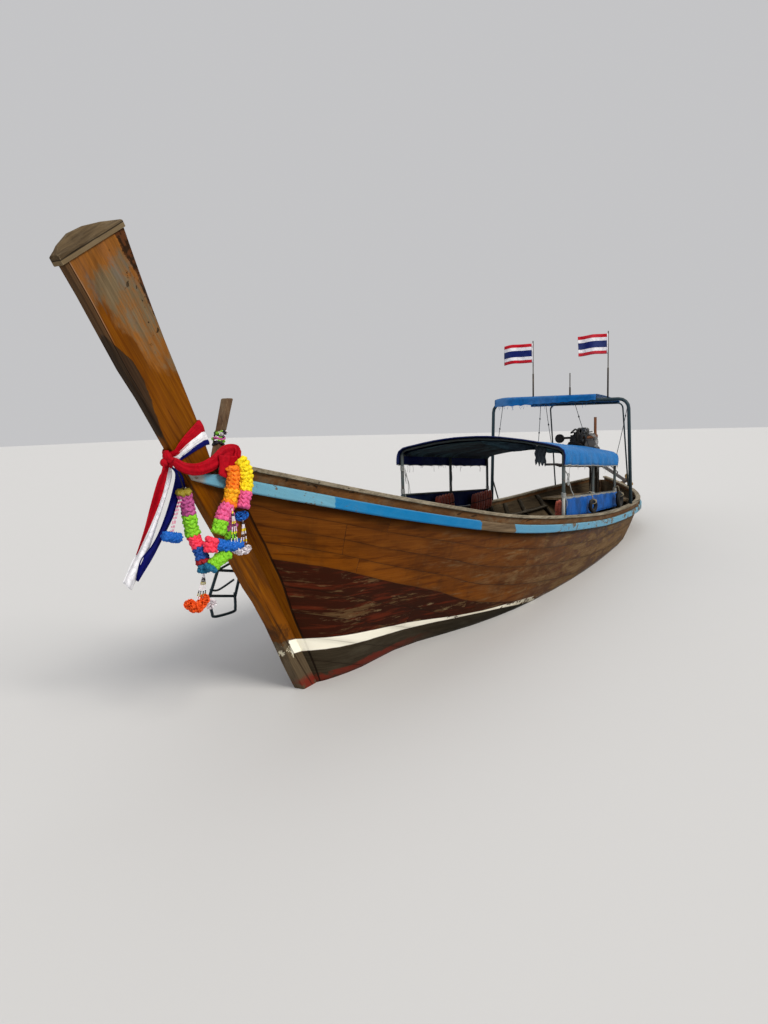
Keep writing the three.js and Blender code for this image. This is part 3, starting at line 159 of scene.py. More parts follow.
class Tree:
    """Adds nodes to a material's or a group's tree. An input takes a Value, a number or a colour."""

    def __init__(self, tree):
        self.tree = tree
        self.kept = {}

    def node(self, kind, **settings):
        made = self.tree.nodes.new(kind)
        for key, value in settings.items():
            setattr(made, key, value)
        made.location = (200 * (len(self.tree.nodes) // 8), -180 * (len(self.tree.nodes) % 8))
        return made

    def put(self, socket, value):
        if isinstance(value, Value):
            self.tree.links.new(value.socket, socket)
        elif isinstance(socket.default_value, (int, float)):
            socket.default_value = value
        else:
            value = tuple(value)
            need = len(socket.default_value)
            socket.default_value = value if len(value) == need else value + (1.0,)

    def out(self, made, name=0):
        return Value(self, made.outputs[name])

    def once(self, key, make):
        if key not in self.kept:
            self.kept[key] = make()
        return self.kept[key]

    def place(self):
        return self.once("place", lambda: self.out(self.node("ShaderNodeTexCoord"), "Object"))

    def facing(self):
        return self.once("facing", lambda: self.out(self.node("ShaderNodeTexCoord"), "Normal"))

    def parts(self, vector):
        split = self.node("ShaderNodeSeparateXYZ")
        self.put(split.inputs[0], vector)
        return [self.out(split, index) for index in range(3)]

    def xyz(self):
        return self.once("xyz", lambda: self.parts(self.place()))

    def nxyz(self):
        return self.once("nxyz", lambda: self.parts(self.facing()))

    def join(self, x, y, z):
        made = self.node("ShaderNodeCombineXYZ")
        for socket, value in zip(made.inputs, (x, y, z)):
            self.put(socket, value)
        return self.out(made)

    def math(self, operation, a, b=None, c=None, clamp=False):
        made = self.node("ShaderNodeMath", operation=operation, use_clamp=clamp)
        for socket, value in zip(made.inputs, (a, b, c)):
            if value is not None:
                self.put(socket, value)
        return self.out(made)

    def scaled(self, vector, x, y, z, turn=(0, 0, 0)):
        made = self.node("ShaderNodeMapping")
        self.put(made.inputs["Vector"], vector)
        made.inputs["Rotation"].default_value = turn
        for index, value in enumerate((x, y, z)):
            made.inputs["Scale"].default_value[index] = value
        return self.out(made)

    def times(self, vector, by):
        made = self.node("ShaderNodeVectorMath", operation="MULTIPLY")
        self.put(made.inputs[0], vector)
        self.put(made.inputs[1], by)
        return self.out(made)

    def noise(self, vector, scale, detail=3.0, rough=0.55, warp=0.0, colour=False):
        made = self.node("ShaderNodeTexNoise")
        for key, value in (("Vector", vector), ("Scale", scale), ("Detail", detail), ("Roughness", rough), ("Distortion", warp)):
            self.put(made.inputs[key], value)
        return self.out(made, "Color" if colour else "Fac")

    def cells(self, vector, scale):
        made = self.node("ShaderNodeTexVoronoi")
        self.put(made.inputs["Vector"], vector)
        self.put(made.inputs["Scale"], scale)
        return self.out(made, "Distance")

    def lottery(self, value):
        made = self.node("ShaderNodeTexWhiteNoise", noise_dimensions="1D")
        self.put(made.inputs["W"], value)
        return self.out(made, "Value")

    def between(self, value, low, high, to_low=0.0, to_high=1.0, smooth=True):
        made = self.node("ShaderNodeMapRange", interpolation_type="SMOOTHSTEP" if smooth else "LINEAR")
        for key, what in (("Value", value), ("From Min", low), ("From Max", high), ("To Min", to_low), ("To Max", to_high)):
            self.put(made.inputs[key], what)
        return self.out(made, "Result")

    def falls(self, value, low, high):
        return self.between(value, low, high, 1.0, 0.0)

    def ramp(self, value, stops):
        made = self.node("ShaderNodeValToRGB")
        band = made.color_ramp
        while len(band.elements) < len(stops):
            band.elements.new(0.5)
        for element, (place, colour) in zip(band.elements, stops):
            element.position = place
            element.color = tuple(colour)[:3] + (1.0,)
        self.put(made.inputs[0], value)
        return self.out(made)

    def mix(self, mask, a, b, blend="MIX"):
        made = self.node("ShaderNodeMix", data_type="RGBA", blend_type=blend)
        self.put(made.inputs[0], mask)
        self.put(made.inputs[6], a)
        self.put(made.inputs[7], b)
        return self.out(made, 2)

    def dyed(self, colour, red, green, blue):
        """The colour seen through a stain."""
        return self.mix(1.0, colour, shade(red, green, blue), "MULTIPLY")

    def grained(self, grain, light, dark):
        """Light wood with dark fibres."""
        return self.mix(grain["Fibre"], shade(*light), shade(*dark))

    def blend(self, mask, a, b):
        made = self.node("ShaderNodeMix", data_type="FLOAT")
        self.put(made.inputs[0], mask)
        self.put(made.inputs[2], a)
        self.put(made.inputs[3], b)
        return self.out(made)

    def line(self, value, points):
        """A smooth curve through the points of (value, result)."""
        points = sorted(points)
        low, high = points[0][0], points[-1][0]
        base = min(p[1] for p in points)
        reach = max(p[1] for p in points) - base or 1.0
        made = self.node("ShaderNodeFloatCurve")
        curve = made.mapping.curves[0]
        places = [((x - low) / (high - low), (y - base) / reach) for x, y in points]
        curve.points[0].location = places[0]
        curve.points[1].location = places[-1]
        for place in places[1:-1]:
            curve.points.new(*place)
        made.mapping.update()
        self.put(made.inputs["Value"], self.between(value, low, high, smooth=False))
        return self.out(made) * reach + base

    def use(self, group, **inputs):
        made = self.node("ShaderNodeGroup", node_tree=group)
        for key, value in inputs.items():
            self.put(made.inputs[key.replace("_", " ")], value)
        return {socket.name: Value(self, socket) for socket in made.outputs}

    def patches(self, vector, scale, amount, softness=0.02):
        return self.use(weathering(), Vector=vector, Scale=scale, Amount=amount, Softness=softness)

    def bump(self, height, strength, distance):
        made = self.node("ShaderNodeBump")
        self.put(made.inputs["Height"], height)
        made.inputs["Strength"].default_value = strength
        made.inputs["Distance"].default_value = distance
        return self.out(made)

    def surface(self, colour, rough, height=None, strength=0.5, distance=0.004, metal=None, **fixed):
        """The Principled BSDF and the material's output."""
        shader = self.node("ShaderNodeBsdfPrincipled")
        self.put(shader.inputs["Base Color"], colour)
        self.put(shader.inputs["Roughness"], rough)
        if metal is not None:
            self.put(shader.inputs["Metallic"], metal)
        if height is not None:
            self.put(shader.inputs["Normal"], self.bump(height, strength, distance))
        for key, value in fixed.items():
            self.put(shader.inputs[key.replace("_", " ")], value)
        out = self.node("ShaderNodeOutputMaterial")
        self.tree.links.new(shader.outputs[0], out.inputs["Surface"])
        return shader


def material(name):
    """A new material and the Tree that writes its nodes."""
    made = bpy.data.materials.new(name)
    made.use_nodes = True
    made.node_tree.nodes.clear()
    return made, Tree(made.node_tree)


def group(name, inputs, outputs, write):
    """A shader node group made once. write gets its Tree, its inputs by name, and gives the outputs by name."""
    if name in bpy.data.node_groups:
        return bpy.data.node_groups[name]
    made = bpy.data.node_groups.new(name, "ShaderNodeTree")
    for label, default in inputs.items():
        kind = "NodeSocketVector" if default is None else "NodeSocketFloat"
        socket = made.interface.new_socket(name=label, in_out="INPUT", socket_type=kind)
        if default is not None:
            socket.default_value = default
    for label in outputs:
        made.interface.new_socket(name=label, in_out="OUTPUT", socket_type="NodeSocketFloat")
    tree = Tree(made)
    enter, leave = tree.node("NodeGroupInput"), tree.node("NodeGroupOutput")
    for label, socket in write(tree, {label: tree.out(enter, label) for label in inputs}).items():
        tree.put(leave.inputs[label], socket)
    return made


# Shared effects

def wood_grain():
    """Long fibres, broad figure and small cracks. The grain runs along the vector's X."""
    def write(t, i):
        stretched = t.times(i["Vector"], t.join(1.0 / i["Stretch"], 1.0, 1.0))
        fibre = t.noise(stretched, i["Scale"], 6.0, 0.68, 0.3)
        fine = t.noise(t.scaled(stretched, 0.5, 1, 1), i["Scale"] * 5.3, 3.0, 0.6)
        broad = t.noise(stretched, i["Scale"] * 0.22, 3.0, 0.5, 0.6)
        rings = abs(t.math("SINE", (broad + fibre * 0.25) * 26.0))
        crack = t.between(t.noise(t.scaled(stretched, 0.4, 1, 1), i["Scale"] * 1.7, 2.0, 0.5), 0.66, 0.71)
        line = fine * 0.5 + fibre * 0.5
        return {
            "Fibre": t.between(line, 0.34, 0.66, smooth=False),
            "Figure": t.blend(0.35, broad, rings),
            "Crack": crack,
            "Height": line * 0.7 + rings * 0.12 - crack,
        }
    return group("Wood Grain", {"Vector": None, "Scale": 9.0, "Stretch": 14.0}, ("Fibre", "Figure", "Crack", "Height"), write)


def plank_seams():
    """Seams between strakes, butts between boards, and one tone for each board."""
    def write(t, i):
        part = t.math("FRACT", i["Strake"])
        side = t.math("MINIMUM", part, 1.0 - part)
        seam = t.falls(side, 0.0, i["Width"])
        row = t.math("FLOOR", i["Strake"])
        shift = i["Along"] / i["Board"] + t.lottery(row + 0.37)
        board = t.math("FLOOR", shift)
        run = t.math("FRACT", shift)
        end = t.math("MINIMUM", run, 1.0 - run) * i["Board"]
        tone = t.lottery(row * 7.31 + board * 1.93)
        return {
            "Seam": seam,
            "Butt": t.falls(end, 0.001, 0.004),
            "Tone": tone,
            "Near Seam": t.falls(side, 0.0, 0.22),
            "Shift": tone * 17.0,
        }
    return group("Plank Seams", {"Strake": 0.0, "Along": 0.0, "Width": 0.035, "Board": 2.6},
                 ("Seam", "Butt", "Tone", "Near Seam", "Shift"), write)


def weathering():
    """Patches with ragged edges, covering about Amount of the surface, and small specks."""
    def write(t, i):
        big = t.noise(i["Vector"], i["Scale"], 9.0, 0.66, 0.4)
        small = t.noise(i["Vector"], i["Scale"] * 6.1, 5.0, 0.7)
        field = big * 0.74 + small * 0.26
        edge = t.between(i["Amount"], 0.0, 1.0, 0.72, 0.28, smooth=False)
        patches = t.between(field, edge - i["Softness"], edge + i["Softness"])
        specks = t.between(t.noise(i["Vector"], i["Scale"] * 21.0, 3.0, 0.6), 0.6, 0.66)
        return {"Patches": patches, "Specks": specks, "Field": field}
    return group("Weathering", {"Vector": None, "Scale": 4.0, "Amount": 0.3, "Softness": 0.02},
                 ("Patches", "Specks", "Field"), write)


def edge_wear():
    """Worn outer edges, broken up by noise."""
    def write(t, i):
        soft = t.node("ShaderNodeBevel", samples=4)
        t.put(soft.inputs["Radius"], i["Width"])
        true = t.out(t.node("ShaderNodeNewGeometry"), "Normal")
        dot = t.node("ShaderNodeVectorMath", operation="DOT_PRODUCT")
        t.put(dot.inputs[0], t.out(soft))
        t.put(dot.inputs[1], true)
        bend = t.falls(t.out(dot, "Value"), 0.86, 0.995)
        broken = t.noise(i["Vector"], i["Scale"], 5.0, 0.7)
        return {"Wear": t.math("MULTIPLY", bend, t.between(broken, 0.38, 0.6), clamp=True), "Edge": bend}
    return group("Edge Wear", {"Vector": None, "Width": 0.008, "Scale": 30.0}, ("Wear", "Edge"), write)


def cloth_weave():
    """Crossed threads, creases and faded patches of a cloth."""
    def write(t, i):
        x, y, z = t.parts(i["Vector"])
        step = TAU / i["Thread"]
        first = t.math("SINE", (x + y * 0.83) * step)
        second = t.math("SINE", (z - y * 0.61) * step)
        weave = t.math("MAXIMUM", first, second)
        crease = t.noise(i["Vector"], i["Crease"], 4.0, 0.55, 0.5)
        fold = 1.0 - abs(crease * 2.0 - 1.0)
        fade = t.noise(i["Vector"], i["Crease"] * 0.31, 3.0, 0.5)
        return {"Weave": weave, "Fold": fold, "Fade": t.between(fade, 0.35, 0.65),
                "Height": weave * 0.12 + fold}
    return group("Cloth Weave", {"Vector": None, "Thread": 0.0016, "Crease": 7.0},
                 ("Weave", "Fold", "Fade", "Height"), write)


def dust():
    """Pale dust and salt on faces that look up, more in some places than in others."""
    def write(t, i):
        up = t.between(t.nxyz()[2], 0.2, 0.95)
        spread = t.noise(i["Vector"], i["Scale"], 6.0, 0.62)
        grime = t.between(t.noise(i["Vector"], i["Scale"] * 0.4, 4.0, 0.6), 0.42, 0.62)
        return {"Dust": up * t.between(spread, 0.3, 0.7) * i["Amount"], "Grime": grime}
    return group("Dust", {"Vector": None, "Scale": 6.0, "Amount": 0.5}, ("Dust", "Grime"), write)


def drips():
    """Stains that run straight down."""
    def write(t, i):
        run = t.times(i["Vector"], (1.0, 1.0, 0.09))
        marks = t.noise(run, i["Scale"], 4.0, 0.6)
        thin = t.noise(run, i["Scale"] * 3.7, 3.0, 0.55)
        return {"Stain": t.between(marks, 0.5, 0.72), "Run": t.between(thin, 0.6, 0.7)}
    return group("Drips", {"Vector": None, "Scale": 7.0}, ("Stain", "Run"), write)


# Lines along the hull, as points of (x, z)

def rail_line():
    """The height of the rub rail's lower edge along the boat, read from its node."""
    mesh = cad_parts["rub_rail_port"].data
    low = {}
    for vertex in mesh.vertices:
        x = round(vertex.co.x, 2)
        low[x] = min(low.get(x, 9.0), vertex.co.z)
    places = [x for x in sorted(low) if x < 6.47]
    return [(x, low[x] + 0.02) for x in places[:: max(1, len(places) // 14)]] + [(places[-1], low[places[-1]] + 0.02)]


KNUCKLE = [(-5.6, -0.3), (-3, -0.28), (0, -0.2), (1.6, -0.06), (2.74, 0.1), (3.57, 0.27), (4.22, 0.5), (4.85, 0.7),
           (5.49, 0.92), (5.93, 1.06), (6.3, 1.2)]
CREAM_TOP = [(-5.6, -0.4), (0, -0.12), (1.6, -0.02), (2.67, 0.09), (3.6, 0.16), (4.46, 0.265), (5.2, 0.355), (5.75, 0.425),
             (6.3, 0.49)]
CREAM_FOOT = [(-5.6, -0.5), (0, -0.2), (1.6, -0.08), (2.5, 0.02), (3.34, 0.12), (4.42, 0.2), (5.2, 0.265), (5.67, 0.31),
              (6.3, 0.37)]


# The seam between the stem's second timber and the planks, as (z, x)
STEM_SEAM = [(-0.4, 5.02), (0.38, 5.472), (0.554, 5.576), (0.717, 5.665), (0.874, 5.749), (1.034, 5.846), (1.136, 5.907),
             (1.285, 5.999), (1.75, 6.29)]


def hull_planks():
    """Golden varnish above the knuckle, worn maroon below it, a cream strip, the wet bottom and the stem's second timber."""
    c, s = colours(), sizes()
    made, t = material("Hull Planks")
    place = t.place()
    x, y, z = t.xyz()
    inside = t.falls(y * t.nxyz()[1], -0.06, -0.02)
    wobble = (t.noise(place, 3.0, 4.0, 0.6) - 0.5) * 0.012
    height = z + wobble
    sheer, knuckle = t.line(x, rail_line()), t.line(x, KNUCKLE)
    over = t.between(height - knuckle, -0.004, 0.004)
    upper = (z - knuckle) / t.math("MAXIMUM", sheer - knuckle, 0.05) * 4.0
    lower = (knuckle - z) / s.strake + 20.0
    seams = t.use(plank_seams(), Strake=t.blend(t.math("GREATER_THAN", z, knuckle), lower, upper), Along=x, Board=s.board,
                  Width=0.022)
    along = t.join(x, z + y * 0.3, seams["Shift"])
    grain = t.use(wood_grain(), Vector=along, Scale=16.0, Stretch=11.0)
    streaks = t.between(t.noise(t.scaled(along, 0.09, 1, 1), 24.0, 5.0, 0.66), 0.5, 0.68)
    clouds = t.between(t.noise(t.scaled(place, 0.28, 1, 1), 4.6, 5.0, 0.62), 0.47, 0.66)
    worn = t.patches(t.scaled(along, 0.2, 1, 0.2), 7.0, t.line(x, [(-5.6, 0.66), (-3, 0.62), (0, 0.52), (2.2, 0.42), (3.6, 0.3),
                                                                   (4.6, 0.12), (5.2, 0.04), (6.3, 0.02)]), 0.05)
    stains = t.use(drips(), Vector=place, Scale=6.0)

    fresh = t.ramp(t.between(x, -4.5, 6.0, smooth=False),
                   [(0.0, c.varnish_aft), (0.42, c.varnish_aft), (0.66, c.varnish_middle), (0.86, c.varnish_bow),
                    (1.0, c.varnish_bow)])
    fresh = t.mix(0.8, fresh, t.mix(seams["Tone"], shade(196, 186, 176), shade(255, 250, 242)), "MULTIPLY")
    golden = t.falls(z - knuckle, 0.02, 0.3) * t.between(x, 1.8, 4.4)
    fresh = t.mix(golden * 0.7, fresh, shade(132, 72, 6))
    fresh = t.mix(grain["Fibre"] * 0.5, fresh, t.dyed(fresh, 150, 128, 108))
    fresh = t.mix(t.between(grain["Figure"], 0.55, 0.9) * 0.45, fresh, shade(128, 76, 22))
    fresh = t.mix(streaks * 0.62, fresh, shade(58, 22, 2))
    fresh = t.mix(clouds * 0.38, fresh, shade(62, 30, 4))
    fresh = t.mix(stains["Stain"] * 0.3, fresh, shade(40, 24, 12))
    rubbed = t.patches(t.scaled(along, 0.35, 1, 0.35), 4.0, t.line(x, [(-5.6, 0.3), (1.0, 0.3), (3.0, 0.36), (4.0, 0.34),
            (4.9, 0.12), (5.6, 0.04), (6.3, 0.0)]), 0.08)
    fresh = t.mix(rubbed["Patches"] * 0.45, fresh, t.grained(grain, (136, 108, 74), (92, 66, 38)))
    # A darker band just under the rail: painted shade of the rail, with some dirt
    fresh = t.mix(t.falls(sheer - z, 0.0, 0.09) * 0.5, fresh, shade(38, 20, 8))
    faded = t.grained(grain, (126, 104, 76), (88, 66, 42))
    planks = t.mix(worn["Patches"] * 0.72, fresh, faded)

    flat = t.scaled(along, 0.17, 1, 0.17)
    paint = t.mix(grain["Figure"] * 0.6, c.maroon, shade(44, 24, 12))
    paint = t.mix(streaks * 0.55, paint, shade(104, 40, 20))
    paint = t.mix(t.between(x, 4.4, 1.5), paint, t.grained(grain, (72, 46, 22), (44, 28, 14)))
    peel = t.patches(flat, 10.0, t.line(x, [(-5.6, 0.4), (2.5, 0.32), (4.2, 0.36), (4.9, 0.4), (5.5, 0.36), (6.3, 0.2)]), 0.03)
    paint = t.mix(peel["Patches"] * 0.6, paint, t.grained(grain, (124, 100, 68), (80, 58, 34)))
    scraps = t.patches(t.scaled(along, 0.3, 1, 0.3), 6.5, 0.27, 0.03)
    paint = t.mix(scraps["Patches"] * 0.7, paint, t.grained(grain, (150, 130, 98), (96, 76, 48)))
    body = t.mix(over, paint, planks)

    # The second timber of the stem, planed smooth against the first
    behind = x - t.line(z, STEM_SEAM)
    timber = t.between(behind, -0.002, 0.004)
    stem_way = t.join(x * 0.53 + z * 0.85, z * 0.53 - x * 0.85, y)
    stem_grain = t.use(wood_grain(), Vector=stem_way, Scale=17.0, Stretch=14.0)
    stem_wood = t.mix(stem_grain["Fibre"], c.prow, t.dyed(c.prow, 150, 124, 96))
    stem_wood = t.mix(stem_grain["Figure"] * 0.4, stem_wood, shade(84, 44, 10))
    stem_wood = t.mix(t.between(z, 1.2, 1.4, 0.0, 0.6), stem_wood, shade(52, 20, 3))
    stem_wood = t.mix(t.between(behind, 0.07, 0.1), stem_wood, shade(44, 22, 8))
    body = t.mix(timber, body, stem_wood)

    strip = t.between(height, t.line(x, CREAM_FOOT), t.line(x, CREAM_FOOT) + 0.006) * t.falls(height, t.line(x, CREAM_TOP),
            t.line(x, CREAM_TOP) + 0.006)
    chips = t.patches(t.scaled(place, 0.5, 1, 1.4), 12.0,
                      t.line(x, [(-5.6, 0.66), (2.0, 0.5), (3.2, 0.34), (4.0, 0.2), (4.8, 0.05), (5.6, 0.04), (6.3, 0.2)]))
    strip = t.math("MULTIPLY", strip, 1.0 - chips["Patches"], clamp=True)
    cream = t.mix(t.between(x * -0.2 + worn["Field"] * 1.2, -0.4, 0.3) * 0.7, c.cream, shade(150, 138, 108))
    below = t.falls(height, t.line(x, CREAM_FOOT) - 0.004, t.line(x, CREAM_FOOT) + 0.004)
    red = t.patches(t.scaled(place, 0.35, 1, 1.6), 6.0,
                    t.line(z, [(-0.4, 0.75), (0.03, 0.6), (0.09, 0.35), (0.15, 0.05), (0.5, 0.0)]), 0.05)
    wet = t.mix(grain["Fibre"], c.bottom, t.dyed(c.bottom, 176, 172, 160))
    wet = t.mix(clouds * 0.4, wet, shade(84, 78, 64))
    wet = t.mix(red["Patches"] * t.between(x, 3.9, 4.6) * 0.85, wet, c.bottom_red)
    wet = t.mix(t.between(x, 4.5, 2.4, 0.0, 0.92), wet, shade(20, 19, 11))
    body = t.mix(below, body, wet)
    body = t.mix(strip, body, cream)
    shown = t.between(t.noise(t.scaled(place, 0.6, 1, 1), 5.0, 3.0, 0.6), 0.36, 0.6, 0.35, 1.0)
    gap = t.math("MAXIMUM", seams["Seam"], seams["Butt"] * 0.8) * (shown * (1.0 - timber))
    rebate = t.falls(abs(behind), 0.003, 0.008)
    gap = t.math("MAXIMUM", gap, rebate * (1.0 - strip * 0.7))
    body = t.mix(gap * (0.85 - strip * 0.6), body, shade(22, 13, 7))
    body = t.mix(seams["Near Seam"] * (1.0 - timber) * 0.2, body, shade(32, 18, 9))
    splash = t.falls(z, 0.0, 0.035 + wobble)
    body = t.mix(splash * 0.6, body, shade(30, 26, 18))

    lining = t.grained(grain, (96, 84, 66), (62, 52, 40))
    lining = t.mix(seams["Seam"] * 0.9, t.mix(0.5, lining, t.mix(seams["Tone"], shade(140, 128, 116), shade(240, 232, 220)),
                                              "MULTIPLY"), shade(22, 18, 13))
    lining = t.mix(stains["Stain"] * 0.4, lining, shade(40, 33, 26))
    body = t.mix(inside, body, lining)

    rough = 0.36 + worn["Patches"] * 0.3 + (1.0 - over) * 0.16
    rough = rough + t.noise(place, 14.0, 4.0, 0.6) * 0.16
    rough = t.math("SUBTRACT", rough + inside * 0.15, splash * 0.4, clamp=True)
    relief = grain["Height"] * 0.2 + strip * 0.25 - gap * 1.4
    relief = relief - (peel["Patches"] + scraps["Patches"]) * (1.0 - over) * 0.15
    t.surface(body, rough, relief, 0.55, 0.004, Specular_IOR_Level=0.03)
    return made


# The front of the prow's top edge, and how steeply the edge rises towards the back
TIP_X, TIP_Z, TIP_SLOPE = 7.229, 2.673, 0.648


def aged_wood(name, base, dark, grey=0.3, turn=(0, 0, 0), scale=14.0, stretch=12.0, rough=0.78, crack=0.8, dusty=0.35, wear=0.5,
              cap=False):
    """Old boat timber with its grain along X after the turn, grey patches, cracks and pale worn edges.

    cap adds the prow cap's moulding, with painted shade in its groove, and flecks.
    """
    c = colours()
    made, t = material(name)
    place = t.place()
    along = t.scaled(place, 1, 1, 1, turn)
    grain = t.use(wood_grain(), Vector=along, Scale=scale, Stretch=stretch)
    old = t.patches(t.scaled(along, 0.3, 1, 1), 6.0, grey, 0.09)
    edge = t.use(edge_wear(), Vector=place, Width=0.007, Scale=26.0)
    dirt = t.use(dust(), Vector=place, Scale=7.0, Amount=dusty)
    wood = t.mix(grain["Fibre"], base, dark)
    wood = t.mix(grain["Figure"] * 0.3, wood, t.dyed(wood, 214, 190, 160))
    wood = t.mix(old["Patches"] * 0.75, wood, t.mix(grain["Fibre"], c.old_wood, shade(96, 84, 68)))
    wood = t.mix(dirt["Grime"] * 0.22, wood, shade(48, 38, 28))
    wood = t.mix(grain["Crack"] * crack, wood, shade(30, 22, 15))
    wood = t.mix(edge["Wear"] * wear, wood, shade(158, 142, 116))
    wood = t.mix(dirt["Dust"] * 0.35, wood, shade(164, 156, 138))
    relief = grain["Height"] * 0.5 - grain["Crack"] * 0.4
    if cap:
        x, _, z = t.xyz()
        rise = z - TIP_Z - (TIP_X - x) * TIP_SLOPE
        # The groove along the moulding, cut in by the relief and painted dark as shade
        seam = t.falls(abs(rise - (0.024 + old["Field"] * 0.012)), 0.0015, 0.005)
        wood = t.mix(t.between(rise, 0.026, 0.034), t.mix(0.5, wood, shade(128, 110, 82)), wood)
        chalk = t.patches(along, 19.0, 0.16, 0.02)
        wood = t.mix(chalk["Patches"] * t.between(edge["Edge"], 0.0, 0.4, 0.1, 0.8), wood, shade(206, 200, 188))
        # Painted shade in the moulding's groove
        wood = t.mix(seam * 0.8, wood, shade(30, 24, 18))
        relief = relief - seam
    t.surface(wood, t.blend(old["Patches"] * 0.5, rough, 0.88), relief, 0.7, 0.003, Specular_IOR_Level=0.06)
    return made


PROW_TURN = (0, math.radians(55), 0)
# The stem's front edge and the prow's back edge, as (z, x)
PROW_FRONT = [(-0.395, 4.96), (-0.01, 5.43), (0.428, 5.689), (0.74, 5.885), (1.073, 6.118), (1.366, 6.326), (1.62, 6.501),
              (2.059, 6.805),
              (2.205, 6.919), (2.39, 7.039), (2.534, 7.132), (2.673, 7.229), (2.93, 7.404)]
PROW_BACK = [(1.64, 6.28), (1.942, 6.386), (2.185, 6.505), (2.37, 6.599), (2.538, 6.679), (2.68, 6.742), (2.922, 6.845)]
# Below this line the prow is orange and above it grey: (share of the width from the front, z)
PROW_GREY = [(0.0, 2.56), (0.143, 2.51), (0.417, 2.4), (0.46, 2.3), (0.52, 2.223), (0.8, 2.232), (1.0, 2.18)]


